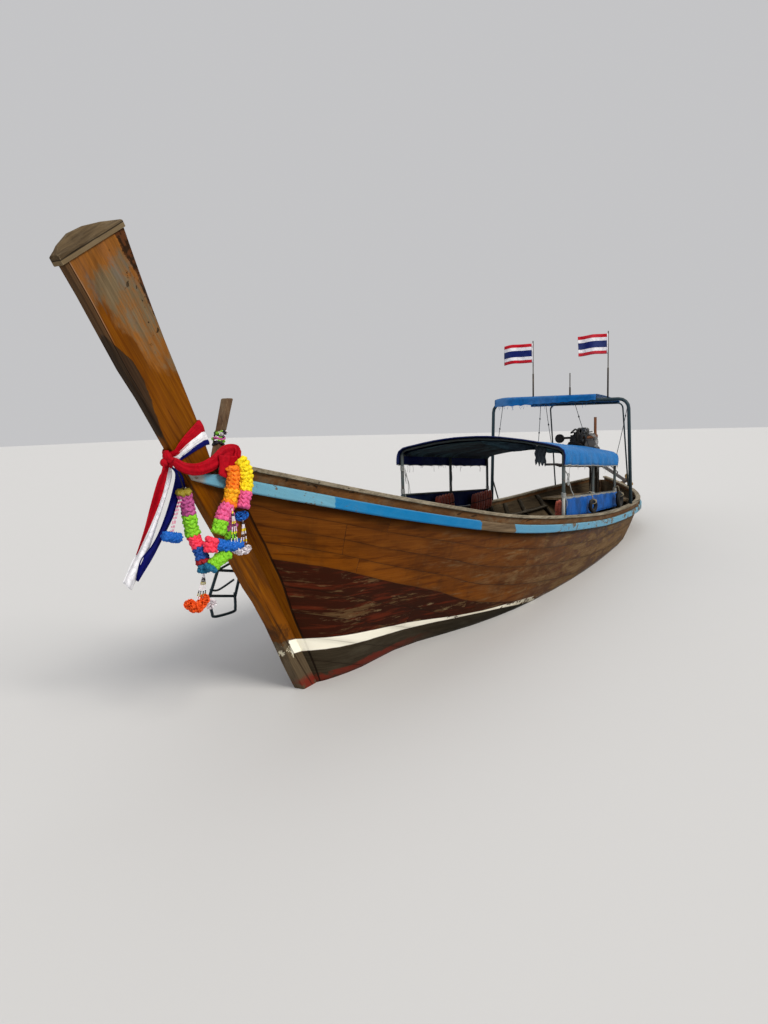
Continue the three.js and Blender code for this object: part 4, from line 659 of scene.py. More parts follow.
def prow_wood():
    """The stem and prow: oiled orange wood below, bleached grey above with orange runs, and dark rotten edges."""
    c = colours()
    made, t = material("Prow Wood")
    place = t.place()
    x, y, z = t.xyz()
    run = x * math.cos(PROW_TURN[1]) + z * math.sin(PROW_TURN[1])
    across = z * math.cos(PROW_TURN[1]) - x * math.sin(PROW_TURN[1])
    grain = t.use(wood_grain(), Vector=t.join(run, across, y), Scale=15.0, Stretch=15.0)
    long = t.join(run * 0.15, across, y)
    blotch = t.join(run * 0.42, across, y)
    ragged = t.noise(blotch, 10.0, 6.0, 0.68, 0.4) - 0.5
    front, back = t.line(z, PROW_FRONT), t.line(z, PROW_BACK)
    behind = (x - front) * -1.0
    share = behind / t.math("MAXIMUM", front - back, 0.1)
    high = t.between(z + ragged * 0.5 - t.line(share, PROW_GREY), -0.06, 0.06)
    top = (TIP_X - x) * TIP_SLOPE + (TIP_Z - z)
    edge = t.use(edge_wear(), Vector=place, Width=0.01, Scale=22.0)
    stains = t.use(drips(), Vector=place, Scale=9.0)

    warm = t.mix(grain["Fibre"], c.prow, t.dyed(c.prow, 164, 140, 112))
    warm = t.mix(t.between(grain["Figure"], 0.5, 0.9) * 0.45, warm, shade(150, 88, 20))
    warm = t.mix(t.between(t.noise(long, 7.0, 4.0, 0.6), 0.46, 0.7, 0.0, 0.5), warm, shade(76, 40, 10))
    ashen = t.grained(grain, (120, 102, 76), (84, 72, 52))
    ashen = t.mix(t.between(t.noise(blotch, 6.0, 5.0, 0.62), 0.45, 0.62, 0.0, 0.7), ashen, shade(100, 98, 94))
    runs = t.patches(blotch, 6.5, t.line(top, [(0.0, 0.8), (0.1, 0.62), (0.2, 0.45), (0.6, 0.48), (1.2, 0.5)]), 0.08)
    ashen = t.mix(runs["Patches"] * 0.8, ashen, t.grained(grain, (150, 88, 14), (104, 60, 14)))
    wood = t.mix(high, warm, ashen)
    low = t.between(z, 1.5, 1.1)
    wood = t.mix(low * (t.between(t.noise(long, 9.0, 3.0, 0.55), 0.5, 0.62) * 0.55), wood, shade(58, 32, 12))
    wood = t.mix(stains["Stain"] * 0.25, wood, shade(50, 30, 14))

    # The planed strip along the front, its groove, and the hollow behind the groove, both painted dark as shade
    width = t.line(z, [(1.75, -0.01), (1.88, 0.0), (2.05, 0.014), (2.3, 0.026), (2.93, 0.026)])
    past = behind - width
    strip = t.between(past, 0.004, -0.004) * t.between(z, 1.75, 1.85)
    wood = t.mix(strip * 0.8, wood, t.grained(grain, (86, 72, 54), (50, 38, 26)))
    groove = t.falls(abs(past - 0.003), 0.002, 0.005) * t.between(z, 2.0, 2.15)
    ridge_highlight = t.falls(abs(past - 0.01), 0.002, 0.006) * t.between(z, 2.3, 2.42)
    # Painted highlight along the ridge
    wood = t.mix(ridge_highlight * 0.6, wood, shade(160, 122, 92))
    depth = t.line(z, [(1.75, -0.03), (1.88, 0.0), (1.99, 0.038), (2.11, 0.082), (2.2, 0.102), (2.28, 0.065), (2.36, 0.0),
                       (2.45, -0.03), (2.93, -0.03)])
    shaded_hollow = t.between(behind + ragged * 0.06 - depth, 0.008, -0.004)
    # Painted shade in the hollow behind the groove
    wood = t.mix(shaded_hollow * 0.92, wood, t.grained(grain, (62, 50, 38), (28, 20, 14)))
    rotten = t.between(share + ragged * 0.3 - t.line(z, [(2.3, 1.02), (2.5, 0.985), (2.62, 0.95), (2.72, 0.9), (2.86, 0.84),
                                                         (2.93, 0.82)]), -0.01, 0.012)
    rotten = rotten * t.between(z, 2.4, 2.5)
    wood = t.mix(rotten * 0.9, wood, t.mix(t.between(t.noise(place, 26.0, 4.0, 0.6), 0.42, 0.56), shade(74, 42, 24),
                                           shade(20, 14, 11)))
    spots = t.between(t.noise(place, 30.0, 2.0, 0.5), 0.64, 0.68) * (t.between(share, 0.55, 0.8) * t.between(z, 2.2, 2.4))
    wood = t.mix(spots * 0.85, wood, shade(34, 24, 16))
    knots = t.falls(t.cells(t.join(run * 0.5, across, 0.0), 3.1), 0.05, 0.1)
    wood = t.mix(knots * 0.6, wood, shade(40, 22, 10))

    strap = t.between(behind + ragged * 0.1, 0.062,
                      0.07) * (t.between(z, t.line(x, CREAM_FOOT), t.line(x, CREAM_FOOT) + 0.006) * t.falls(z,
                              t.line(x, CREAM_TOP), t.line(x, CREAM_TOP) + 0.006))
    foot = t.patches(place, 7.0, t.line(z, [(-0.4, 0.95), (0.25, 0.9), (0.4, 0.75), (0.5, 0.12), (3.0, 0.0)]))
    wood = t.mix(foot["Patches"], wood, t.grained(grain, (96, 82, 62), (54, 42, 30)))
    wood = t.mix(t.between(z, 0.12, 0.05) * t.between(t.noise(place, 5.0, 4.0, 0.6), 0.42, 0.55), wood, c.bottom_red)
    scorch = t.patches(place, 9.0, t.line(z, [(-0.4, 0.0), (0.36, 0.3), (0.46, 0.5), (0.56, 0.25), (0.66, 0.0), (3.0, 0.0)]),
                       0.07)
    wood = t.mix(scorch["Patches"] * 0.6, wood, shade(46, 28, 14))
    flakes = t.patches(place, 8.0, t.line(z, [(-0.4, 0.0), (0.22, 0.06), (0.3, 0.42), (0.38, 0.4), (0.46, 0.0), (3.0, 0.0)]))
    wood = t.mix(flakes["Patches"], wood, shade(206, 198, 172))
    wood = t.mix(strap, wood, c.cream)
    wood = t.mix(grain["Crack"] * 0.6, wood, shade(32, 20, 11))
    # Painted shade in the groove
    wood = t.mix(groove * 0.85, wood, shade(24, 16, 10))
    wood = t.mix(edge["Wear"] * t.between(z, 0.6, 2.4, 0.45, 0.75), wood, shade(52, 38, 26))
    rough = t.blend(high, 0.42, 0.78) + ragged * 0.2
    relief = grain["Height"] * 0.4 - (groove * 1.5 + (grain["Crack"] * 0.5 + (shaded_hollow + rotten) * 1.2))
    t.surface(wood, rough, relief, 0.6, 0.005, Specular_IOR_Level=0.04)
    return made


def rail_paint():
    """Blue rub rail paint with chips down to bare and dark wood, paler on top and aft."""
    c = colours()
    made, t = material("Rail Paint")
    place = t.place()
    x, y, z = t.xyz()
    up = t.nxyz()[2]
    grain = t.use(wood_grain(), Vector=t.join(x, z + y, 0.0), Scale=22.0, Stretch=16.0)
    edge = t.use(edge_wear(), Vector=place, Width=0.012, Scale=14.0)
    worn = t.line(x, [(-5.6, 0.4), (-1, 0.36), (2.2, 0.34), (3.0, 0.3), (3.28, 0.34), (3.36, 0.85), (3.9, 0.85), (4.0, 0.3),
                      (4.3, 0.12), (5.3, 0.08),
                      (5.5, 0.3), (6.1, 0.3), (6.36, 0.34), (6.44, 0.3), (6.5, 0.3)])
    chips = t.patches(t.scaled(place, 0.45, 1, 1), 9.0, worn, 0.012)
    small = t.patches(t.scaled(place, 0.7, 1, 1), 26.0, worn * 0.75, 0.015)
    pale = t.line(x, [(-5.6, 0.95), (-1, 0.85), (1.5, 0.75), (2.6, 0.65), (3.35, 0.6), (3.9, 0.3), (4.05, 0.05), (5.2, 0.03),
                      (5.5, 0.08), (6.5, 0.1)])
    pale = t.math("MAXIMUM", pale, t.between(x + (chips["Field"] - 0.5) * 0.05, 5.585, 5.595, 0.0, 0.97))
    fade = t.math("ADD", pale, t.between(up, 0.3, 0.9) * 0.4 + (chips["Field"] - 0.5) * 0.5, clamp=True)
    paint = t.mix(fade, c.rail_blue, c.rail_pale)
    paint = t.mix(grain["Fibre"] * 0.25, paint, t.dyed(paint, 150, 158, 160))
    paint = t.mix(t.between(x, 6.38, 6.43, 0.0, 0.92), paint, shade(150, 148, 140))
    paint = t.mix(edge["Edge"] * t.between(up, 0.05, 0.5) * 0.45, paint, shade(150, 176, 182))
    paint = t.mix(small["Specks"] * 0.45, paint, shade(22, 34, 44))
    bare = t.grained(grain, (122, 104, 80), (66, 50, 36))
    loss = t.math("MAXIMUM", chips["Patches"], t.math("MAXIMUM", small["Patches"], edge["Wear"] * (worn * 1.2)))
    colour = t.mix(loss, paint, bare)
    inside = t.falls(y * t.nxyz()[1], -0.06, -0.02)
    colour = t.mix(inside * 0.8, colour, shade(74, 60, 44))
    relief = grain["Height"] * 0.15 - loss * 0.5
    t.surface(colour, t.blend(loss, 0.5, 0.8), relief, 0.7, 0.002, Specular_IOR_Level=0.08)
    return made


def painted_metal(name, base, under, chip=0.2, rough=0.42, rusty=0.4, scale=18.0, dusty=0.3, white=None):
    """Paint on steel with chips, rust round the chips and a film of dust.

    white paints the port rail and the foot of the front post.
    """
    made, t = material(name)
    place = t.place()
    wear = t.patches(place, scale, chip, 0.015)
    halo = t.patches(place, scale, chip + 0.12, 0.08)
    edge = t.use(edge_wear(), Vector=place, Width=0.004, Scale=60.0)
    film = t.use(dust(), Vector=place, Scale=11.0, Amount=dusty)
    colour = t.mix(wear["Field"] * 0.35, base, t.dyed(base, 176, 172, 166))
    if white is not None:
        x, y, z = t.xyz()
        rail = t.between(abs(z - (x * 0.072 + 0.892)), 0.034, 0.028)
        post = t.between(x, 1.56, 1.57) * t.between(z, 1.02, 1.0)
        colour = t.mix(t.math("MAXIMUM", rail, post) * t.between(y, 0.9, 0.91), colour, white)
    colour = t.mix(halo["Patches"] * rusty, colour, colours().rust)
    loss = t.math("MAXIMUM", wear["Patches"], edge["Wear"] * 0.7)
    colour = t.mix(loss, colour, under)
    colour = t.mix(film["Dust"] * 0.4, colour, shade(128, 122, 110))
    t.surface(colour, t.blend(loss, rough, 0.72), wear["Field"] * 0.15 - loss * 0.6, 0.6, 0.0012, Specular_IOR_Level=0.15)
    return made


def bare_metal(name, base, dark, rough=0.38, scale=24.0, stain=0.5, metal=0.9):
    """Cast or turned metal with oil, tarnish and fine scratches."""
    made, t = material(name)
    place = t.place()
    cloud = t.patches(place, scale, stain, 0.14)
    edge = t.use(edge_wear(), Vector=place, Width=0.003, Scale=80.0)
    film = t.use(dust(), Vector=place, Scale=14.0, Amount=0.4)
    scratch = t.noise(t.scaled(place, 1, 9, 9), 40.0, 3.0, 0.6)
    colour = t.mix(cloud["Patches"], base, dark)
    colour = t.mix(edge["Wear"] * 0.5, colour, shade(214, 208, 196))
    colour = t.mix(film["Grime"] * 0.35, colour, shade(30, 24, 20))
    rust = t.patches(place, 31.0, 0.12)
    colour = t.mix(rust["Patches"] * 0.7, colour, colours().rust)
    t.surface(colour, t.blend(cloud["Patches"], rough, rough + 0.3), scratch * 0.3 + cloud["Field"] * 0.5, 0.4, 0.0008,
              metal=t.blend(t.math("MAXIMUM", cloud["Patches"], rust["Patches"]), metal, metal * 0.45))
    return made


def rubber(name, base):
    """Old black rubber with grey bloom and scuffs."""
    made, t = material(name)
    place = t.place()
    scuff = t.patches(place, 16.0, 0.3, 0.1)
    film = t.use(dust(), Vector=place, Scale=9.0, Amount=0.35)
    colour = t.mix(scuff["Patches"] * 0.5, base, shade(48, 47, 46))
    colour = t.mix(film["Dust"] * 0.6, colour, shade(142, 134, 120))
    t.surface(colour, t.blend(scuff["Patches"], 0.55, 0.82), scuff["Field"], 0.5, 0.002, Specular_IOR_Level=0.2)
    return made


# Meshes

def wear(name, finish):
    """Gives a CAD node its finish."""
    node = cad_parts[name]
    node.data.materials.clear()
    node.data.materials.append(finish)
    return node


def dress(name, finish, round_off=0.003, angle=38, steps=2):
    """Gives a CAD node its finish, rounded edges and smooth curves."""
    node = wear(name, finish)
    if "custom_normal" in node.data.attributes:
        node.data.attributes.remove(node.data.attributes["custom_normal"])
    for polygon in node.data.polygons:
        polygon.use_smooth = True
    weld = node.modifiers.new("Weld", "WELD")
    weld.merge_threshold = 0.0001
    if round_off:
        soft = node.modifiers.new("Rounding", "BEVEL")
        soft.width = round_off
        soft.segments = steps
        soft.limit_method = "ANGLE"
        soft.angle_limit = math.radians(angle)
        soft.use_clamp_overlap = True
        soft.harden_normals = True
    return node


class Shape:
    """Gathers the faces of one piece, each with a material of its own if need be."""

    def __init__(self):
        self.points, self.faces, self.kinds, self.smooth = [], [], [], []

    def add(self, points, faces, kind=0, smooth=True):
        start = len(self.points)
        self.points += [tuple(p) for p in points]
        for face in faces:
            self.faces.append([start + i for i in face])
            self.kinds.append(kind)
            self.smooth.append(smooth)

    def tube(self, points, radius, sides=8, kind=0, lobes=0, twist=0.0, rough=0.0):
        """A tube along points. radius is a number or one for each point; lobes and twist make it a twisted cloth."""
        points = [Vector(tuple(p)[:3]) for p in points]
        count = len(points)
        ahead = [(points[min(i + 1, count - 1)] - points[max(i - 1, 0)]).normalized() for i in range(count)]
        side = ahead[0].orthogonal().normalized()
        rings, run = [], 0.0
        for i, (point, way) in enumerate(zip(points, ahead)):
            if i:
                side = (ahead[i - 1].rotation_difference(way) @ side).normalized()
                run += (point - points[i - 1]).length
            side = (side - way * side.dot(way)).normalized()
            over = way.cross(side)
            r = radius[i] if hasattr(radius, "__len__") else radius
            for k in range(sides):
                turn = TAU * k / sides
                grow = 1.0
                if lobes:
                    grow = 0.84 + 0.16 * math.cos(lobes * turn + twist * run)
                where = side * math.cos(turn) + over * math.sin(turn)
                if rough:
                    grow *= 1 + rough * noise.noise(where * 3 + point * 30)
                rings.append(point + where * r * grow)
        faces = [[i * sides + k, i * sides + (k + 1) % sides, (i + 1) * sides + (k + 1) % sides, (i + 1) * sides + k]
                 for i in range(count - 1) for k in range(sides)]
        faces += [list(range(sides))[::-1], [(count - 1) * sides + k for k in range(sides)]]
        self.add(rings, faces, kind)

    def curve(self, points, steps, radius, sides=8, kind=0, lobes=0, twist=0.0):
        """A tube along the smooth curve that passes through the points."""
        self.tube(smooth_path(points, steps), radius, sides, kind, lobes, twist)

    def ball(self, middle, size, kind=0, rings=6, sides=8, rough=0.0, turn=None):
        """An ellipsoid; size is its three half lengths."""
        middle = Vector(middle)
        turn = turn or Matrix.Identity(3)
        points, faces = [], []
        for i in range(rings + 1):
            up = math.pi * i / rings
            for k in range(sides):
                round_ = TAU * k / sides
                way = Vector((math.sin(up) * math.cos(round_), math.sin(up) * math.sin(round_), math.cos(up)))
                grow = 1 + (rough * noise.noise(way * 4 + middle * 40) if rough else 0)
                points.append(middle + turn @ Vector((way[0] * size[0], way[1] * size[1], way[2] * size[2])) * grow)
        for i in range(rings):
            for k in range(sides):
                faces.append([i * sides + k, (i + 1) * sides + k, (i + 1) * sides + (k + 1) % sides, i * sides + (k + 1) % sides])
        self.add(points, faces, kind)

    def box(self, low, high, kind=0, turn=None, about=None):
        corners = [Vector((x, y, z)) for x in (low[0], high[0]) for y in (low[1], high[1]) for z in (low[2], high[2])]
        if turn is not None:
            about = Vector(about)
            corners = [about + turn @ (c - about) for c in corners]
        self.add(corners, [[0, 1, 3, 2], [4, 6, 7, 5], [0, 4, 5, 1], [2, 3, 7, 6], [0, 2, 6, 4], [1, 5, 7, 3]], kind, False)

    def sheet(self, rows, thick, kind=0, under=None, hem=None):
        """A closed sheet from rows of points.

        kind and under are the materials of its two sides, or functions of (row, column).
        """
        rows = [[Vector(p) for p in row] for row in rows]
        many, wide = len(rows), len(rows[0])
        lifted = []
        for side in (0.5, -0.5):
            for i in range(many):
                for j in range(wide):
                    down = rows[min(i + 1, many - 1)][j] - rows[max(i - 1, 0)][j]
                    over = rows[i][min(j + 1, wide - 1)] - rows[i][max(j - 1, 0)]
                    out = down.cross(over)
                    out = out.normalized() if out.length > 1e-9 else Vector((0, 0, 1))
                    lifted.append(rows[i][j] + out * thick * side)
        base = many * wide
        pick = kind if callable(kind) else (lambda i, j: kind)
        pick_under = pick if under is None else (under if callable(under) else (lambda i, j: under))
        start = len(self.points)
        self.points += [tuple(p) for p in lifted]
        def face(corners, what):
            self.faces.append([start + c for c in corners])
            self.kinds.append(what)
            self.smooth.append(True)
        for i in range(many - 1):
            for j in range(wide - 1):
                a, b, c, d = i * wide + j, i * wide + j + 1, (i + 1) * wide + j + 1, (i + 1) * wide + j
                face([d, c, b, a], pick(i, j))
                face([base + a, base + b, base + c, base + d], pick_under(i, j))
        edge = 0 if hem is None else hem
        for j in range(wide - 1):
            last = (many - 1) * wide
            face([j, j + 1, base + j + 1, base + j], pick(0, j) if hem is None else edge)
            face([last + j + 1, last + j, base + last + j, base + last + j + 1], pick(many - 2, j) if hem is None else edge)
        for i in range(many - 1):
            a, d = i * wide, (i + 1) * wide
            face([d, a, base + a, base + d], pick(i, 0) if hem is None else edge)
            a, d = a + wide - 1, d + wide - 1
            face([a, d, base + d, base + a], pick(i, wide - 2) if hem is None else edge)

    def piece(self, name, finishes, slot, body="hull", replaces=(), split=None):
        """Makes the object, which rides on a body and takes the given finishes. The slot is not used."""
        mesh = bpy.data.meshes.new(name)
        mesh.from_pydata(self.points, [], self.faces)
        for finish in finishes if isinstance(finishes, (list, tuple)) else [finishes]:
            mesh.materials.append(finish)
        mesh.polygons.foreach_set("material_index", self.kinds)
        mesh.polygons.foreach_set("use_smooth", self.smooth)
        mesh.validate()
        if split is not None:
            mesh.set_sharp_from_angle(angle=math.radians(split))
        made = bpy.data.objects.new(name, mesh)
        bpy.context.scene.collection.objects.link(made)
        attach(made, body)
        if replaces:
            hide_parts(*([replaces] if isinstance(replaces, str) else replaces))
        return made


def smooth_path(points, steps=8):
    """Points on a curve that passes through the given ones, with any further numbers of each point carried along."""
    points = [Vector(tuple(p) + (0.0,) * (4 - len(p))) for p in points]
    path = []
    for i in range(len(points) - 1):
        a, b = points[i], points[i + 1]
        before, after = points[max(i - 1, 0)], points[min(i + 2, len(points) - 1)]
        for k in range(steps):
            s = k / steps
            square = (2 * before - 5 * a + 4 * b - after) * s * s
            path.append(0.5 * ((2 * a) + (b - before) * s + square + (3 * a - before - 3 * b + after) * s ** 3))
    path.append(points[-1])
    return [tuple(p) for p in path]


def cut_size(rows):
    """The width and length of the flat cloth that the rows of points were hung from."""
    def run(line):
        return sum((Vector(b) - Vector(a)).length for a, b in zip(line, line[1:]))
    columns = list(zip(*rows))
    return (sum(map(run, rows)) / len(rows), sum(map(run, columns)) / len(columns))


def along(table, value):
    """Straight lines through a table of (value, result)."""
    for (a, low), (b, high) in zip(table, table[1:]):
        if value <= b or b == table[-1][0]:
            part = (value - a) / (b - a)
            if hasattr(low, "__len__"):
                return [x + (y - x) * part for x, y in zip(low, high)]
            return low + (high - low) * part


def ripple(x, y, z=0.0, scale=4.0):
    """Smooth noise from -1 to 1."""
    return noise.noise(Vector((x * scale, y * scale, z * scale)))


def waterline():
    """The hull's outline at the water as points of (x, half breadth), a little inside the planking."""
    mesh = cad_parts["hull_planking_port"].data
    widest = {}
    for edge in mesh.edges:
        a, b = (mesh.vertices[i].co for i in edge.vertices)
        if (a.z < 0) != (b.z < 0):
            point = a.lerp(b, -a.z / (b.z - a.z))
            key = round(point.x / 0.3)
            if point.y > widest.get(key, (0, 0))[1]:
                widest[key] = (point.x, point.y)
    places = [widest[key] for key in sorted(widest) if -5.35 < widest[key][0] < 5.35]
    return [(-5.45, 0.02)] + [(x, max(y - 0.016, 0.02)) for x, y in places] + [(5.42, 0.02)]


def make_floor():
    half = sizes().floor_half
    side = waterline()
    mesh = bmesh.new()
    edges = []
    loops = ([(x, y) for x, y in side] + [(x, -y) for x, y in reversed(side)], [(7, 3), (-7, 3), (-7, -3), (7, -3)])
    for loop in loops:
        made = [mesh.verts.new((x, y, 0)) for x, y in loop]
        edges += [mesh.edges.new((made[i - 1], made[i])) for i in range(len(made))]
    bmesh.ops.triangle_fill(mesh, use_beauty=True, use_dissolve=False, edges=edges)
    far = [mesh.verts.new((x * half, y * half, 0)) for x, y in ((1, 1), (-1, 1), (-1, -1), (1, -1))]
    for i in range(4):
        mesh.faces.new((made[i - 1], made[i], far[i], far[i - 1]))
    for face in mesh.faces:
        if face.normal.z < 0:
            face.normal_flip()
    data = bpy.data.meshes.new("floor")
    mesh.to_mesh(data)
    mesh.free()
    floor = bpy.data.objects.new("floor", data)
    bpy.context.scene.collection.objects.link(floor)
    finish, t = material("Studio Floor")
    grain = t.noise(t.place(), 3.0, 5.0, 0.6)
    t.surface(t.mix(grain * 0.06, colours().floor, shade(190, 192, 194)), t.blend(grain, 0.75, 0.85))
    data.materials.append(finish)


def hang_lights(context):
    world = bpy.data.worlds.new("Soft Studio")
    world.use_nodes = True
    back = world.node_tree.nodes["Background"]
    back.inputs["Color"].default_value = shade(236, 236, 238) + (1.0,)
    back.inputs["Strength"].default_value = 0.66
    context.scene.world = world
    # Columns: name, direction that the light comes from, strength, how soft it is in degrees, colour
    for name, way, strength, soft, colour in (
        ("key", (6.0, 12.0, 12.0), 2.6, 24.0, (1.0, 0.95, 0.87)),
        ("fill", (12.0, -8.0, 7.0), 0.35, 60.0, (0.93, 0.96, 1.0)),
        ("back", (-10.0, -4.0, 9.0), 0.5, 45.0, (1.0, 1.0, 1.0)),
    ):
        light = bpy.data.lights.new(name, "SUN")
        light.energy = strength
        light.angle = math.radians(soft)
        light.color = colour
        lamp = bpy.data.objects.new(name, light)
        lamp.location = way
        lamp.rotation_euler = Vector(way).to_track_quat("Z", "Y").to_euler()
        context.scene.collection.objects.link(lamp)


# The photograph's frame and its focal length in pixels, how far its horizon drops from side to side, and how far it
# lies above the middle
PHOTO_WIDE, PHOTO_HIGH, PHOTO_FOCAL = 768, 1024, 740
HORIZON_DROP, HORIZON_ABOVE = 22, 90
EYE_X, EYE_Y = 9.73, 2.96


def set_camera(context):
    """The camera stands where the photograph was taken and looks the same way."""
    lens = bpy.data.cameras.new("camera")
    lens.sensor_width = 36
    lens.sensor_fit = "AUTO"
    lens.lens = lens.sensor_width * PHOTO_FOCAL / PHOTO_HIGH
    lens.clip_end = 500
    roll = math.atan2(HORIZON_DROP, PHOTO_WIDE)
    pitch = math.atan(HORIZON_ABOVE * math.cos(roll) / PHOTO_FOCAL)
    level = Vector((-0.8878, -0.4602, 0)).normalized()
    right = Vector((-0.4602, 0.8878, 0)).normalized()
    up = Vector((0, 0, 1))
    ahead = level * math.cos(pitch) - up * math.sin(pitch)
    above = level * math.sin(pitch) + up * math.cos(pitch)
    axes = (right * math.cos(roll) - above * math.sin(roll), right * math.sin(roll) + above * math.cos(roll), -ahead)
    eye = bpy.data.objects.new("camera", lens)
    eye.matrix_world = Matrix.Translation((EYE_X, EYE_Y, sizes().camera_height)) @ Matrix(axes).transposed().to_4x4()
    context.scene.collection.objects.link(eye)
    context.scene.camera = eye
    context.scene.view_settings.view_transform = "Standard"


class StageTheBoat(bpy.types.Operator):
    """Makes the floor at the water's height, the lights and the camera"""

    bl_idname = "longtail.stage"
    bl_label = "Stage"
    bl_options = {"REGISTER", "UNDO"}

    def execute(self, context):
        make_floor()
        hang_lights(context)
        set_camera(context)
        return {"FINISHED"}


class FinishTheHull(bpy.types.Operator):
    """Gives the planking, stem, rails, decks and inner timbers their wood and paint"""

    bl_idname = "longtail.hull"
    bl_label = "Hull and Decks"
    bl_options = {"REGISTER", "UNDO"}

    def execute(self, context):
        c = colours()
        planks, rail, prow = hull_planks(), rail_paint(), prow_wood()
        board = aged_wood("Bulwark Board", shade(112, 74, 38), shade(74, 48, 26), 0.42, rough=0.7)
        cap = aged_wood("Cap Rail Wood", c.pale_wood, shade(90, 82, 68), 0.3, dusty=0.6, rough=0.85, scale=20.0, stretch=22.0)
        deck = aged_wood("Deck Wood", shade(132, 112, 84), shade(84, 68, 50), 0.45, dusty=0.6)
        inner = aged_wood("Inner Timber", shade(64, 58, 48), shade(38, 34, 29), 0.2)
        floor = aged_wood("Floorboards", shade(72, 66, 56), shade(42, 38, 33), 0.25, dusty=0.2)
        crest = aged_wood("Prow Cap Wood", shade(108, 92, 68), shade(54, 44, 33), 0.35, turn=(0, math.radians(-33), 0),
                          scale=22.0, crack=0.9, wear=0.9, cap=True)
        post = aged_wood("Post Wood", shade(112, 88, 66), shade(70, 50, 38), 0.3, turn=(0, math.radians(78), 0))
        keel = aged_wood("Keel Wood", c.bottom, shade(44, 36, 28), 0.15)
        # Columns: nodes, finish, rounding of the edges, least angle of an edge, steps of the rounding
        for names, finish, round_off, angle, steps in (
            ("hull_planking_port hull_planking_starboard", planks, 0.0, 38, 2),
            ("rub_rail_port rub_rail_starboard", rail, 0.013, 40, 3),
            ("bulwark_port bulwark_starboard", board, 0.003, 38, 2),
            ("foredeck stern_deck", deck, 0.003, 38, 2),
            ("cap_rail_port cap_rail_starboard", cap, 0.005, 40, 2),
            ("stem_and_prow", prow, 0.006, 30, 2),
            ("prow_cap", crest, 0.005, 20, 2),
            ("bow_post stern_post", post, 0.006, 30, 2),
            ("keel", keel, 0.006, 30, 2),
            ("frames_and_keelson", inner, 0.0, 38, 2),
            ("inner_stem", inner, 0.004, 38, 2),
            ("floorboards thwart_1 thwart_2 thwart_3", floor, 0.004, 38, 2),
        ):
            for name in names.split():
                dress(name, finish, round_off, angle, steps)
        return {"FINISHED"}


class FinishTheIronwork(bpy.types.Operator):
    """Gives the canopy frame, hoops, ladder and poles their finish"""

    bl_idname = "longtail.ironwork"
    bl_label = "Frames and Hoops"
    bl_options = {"REGISTER", "UNDO"}

    def execute(self, context):
        c = colours()
        grey = painted_metal("Frame Tube", c.tube_grey, shade(84, 56, 38), 0.2, white=c.tube_pale)
        black = painted_metal("Black Tube", c.hoop, shade(74, 86, 90), 0.16, rusty=0.1)
        pole = aged_wood("Pole Wood", shade(62, 56, 50), shade(38, 34, 31), 0.15, turn=(0, math.radians(90), 0), scale=30.0)
        dress("canopy_frame", grey, 0.0, 50)
        for name in ("stern_hoop", "rear_hoop", "boarding_ladder"):
            dress(name, black, 0.0, 50)
        for name in ("flag_pole_1", "flag_pole_2", "flag_pole_3"):
            dress(name, pole, 0.0, 50)
        tyre = rubber("Tyre Rubber", shade(16, 16, 17))
        for name in ("tyre_fender_1", "tyre_fender_2"):
            dress(name, tyre, 0.004, 40)
        return {"FINISHED"}


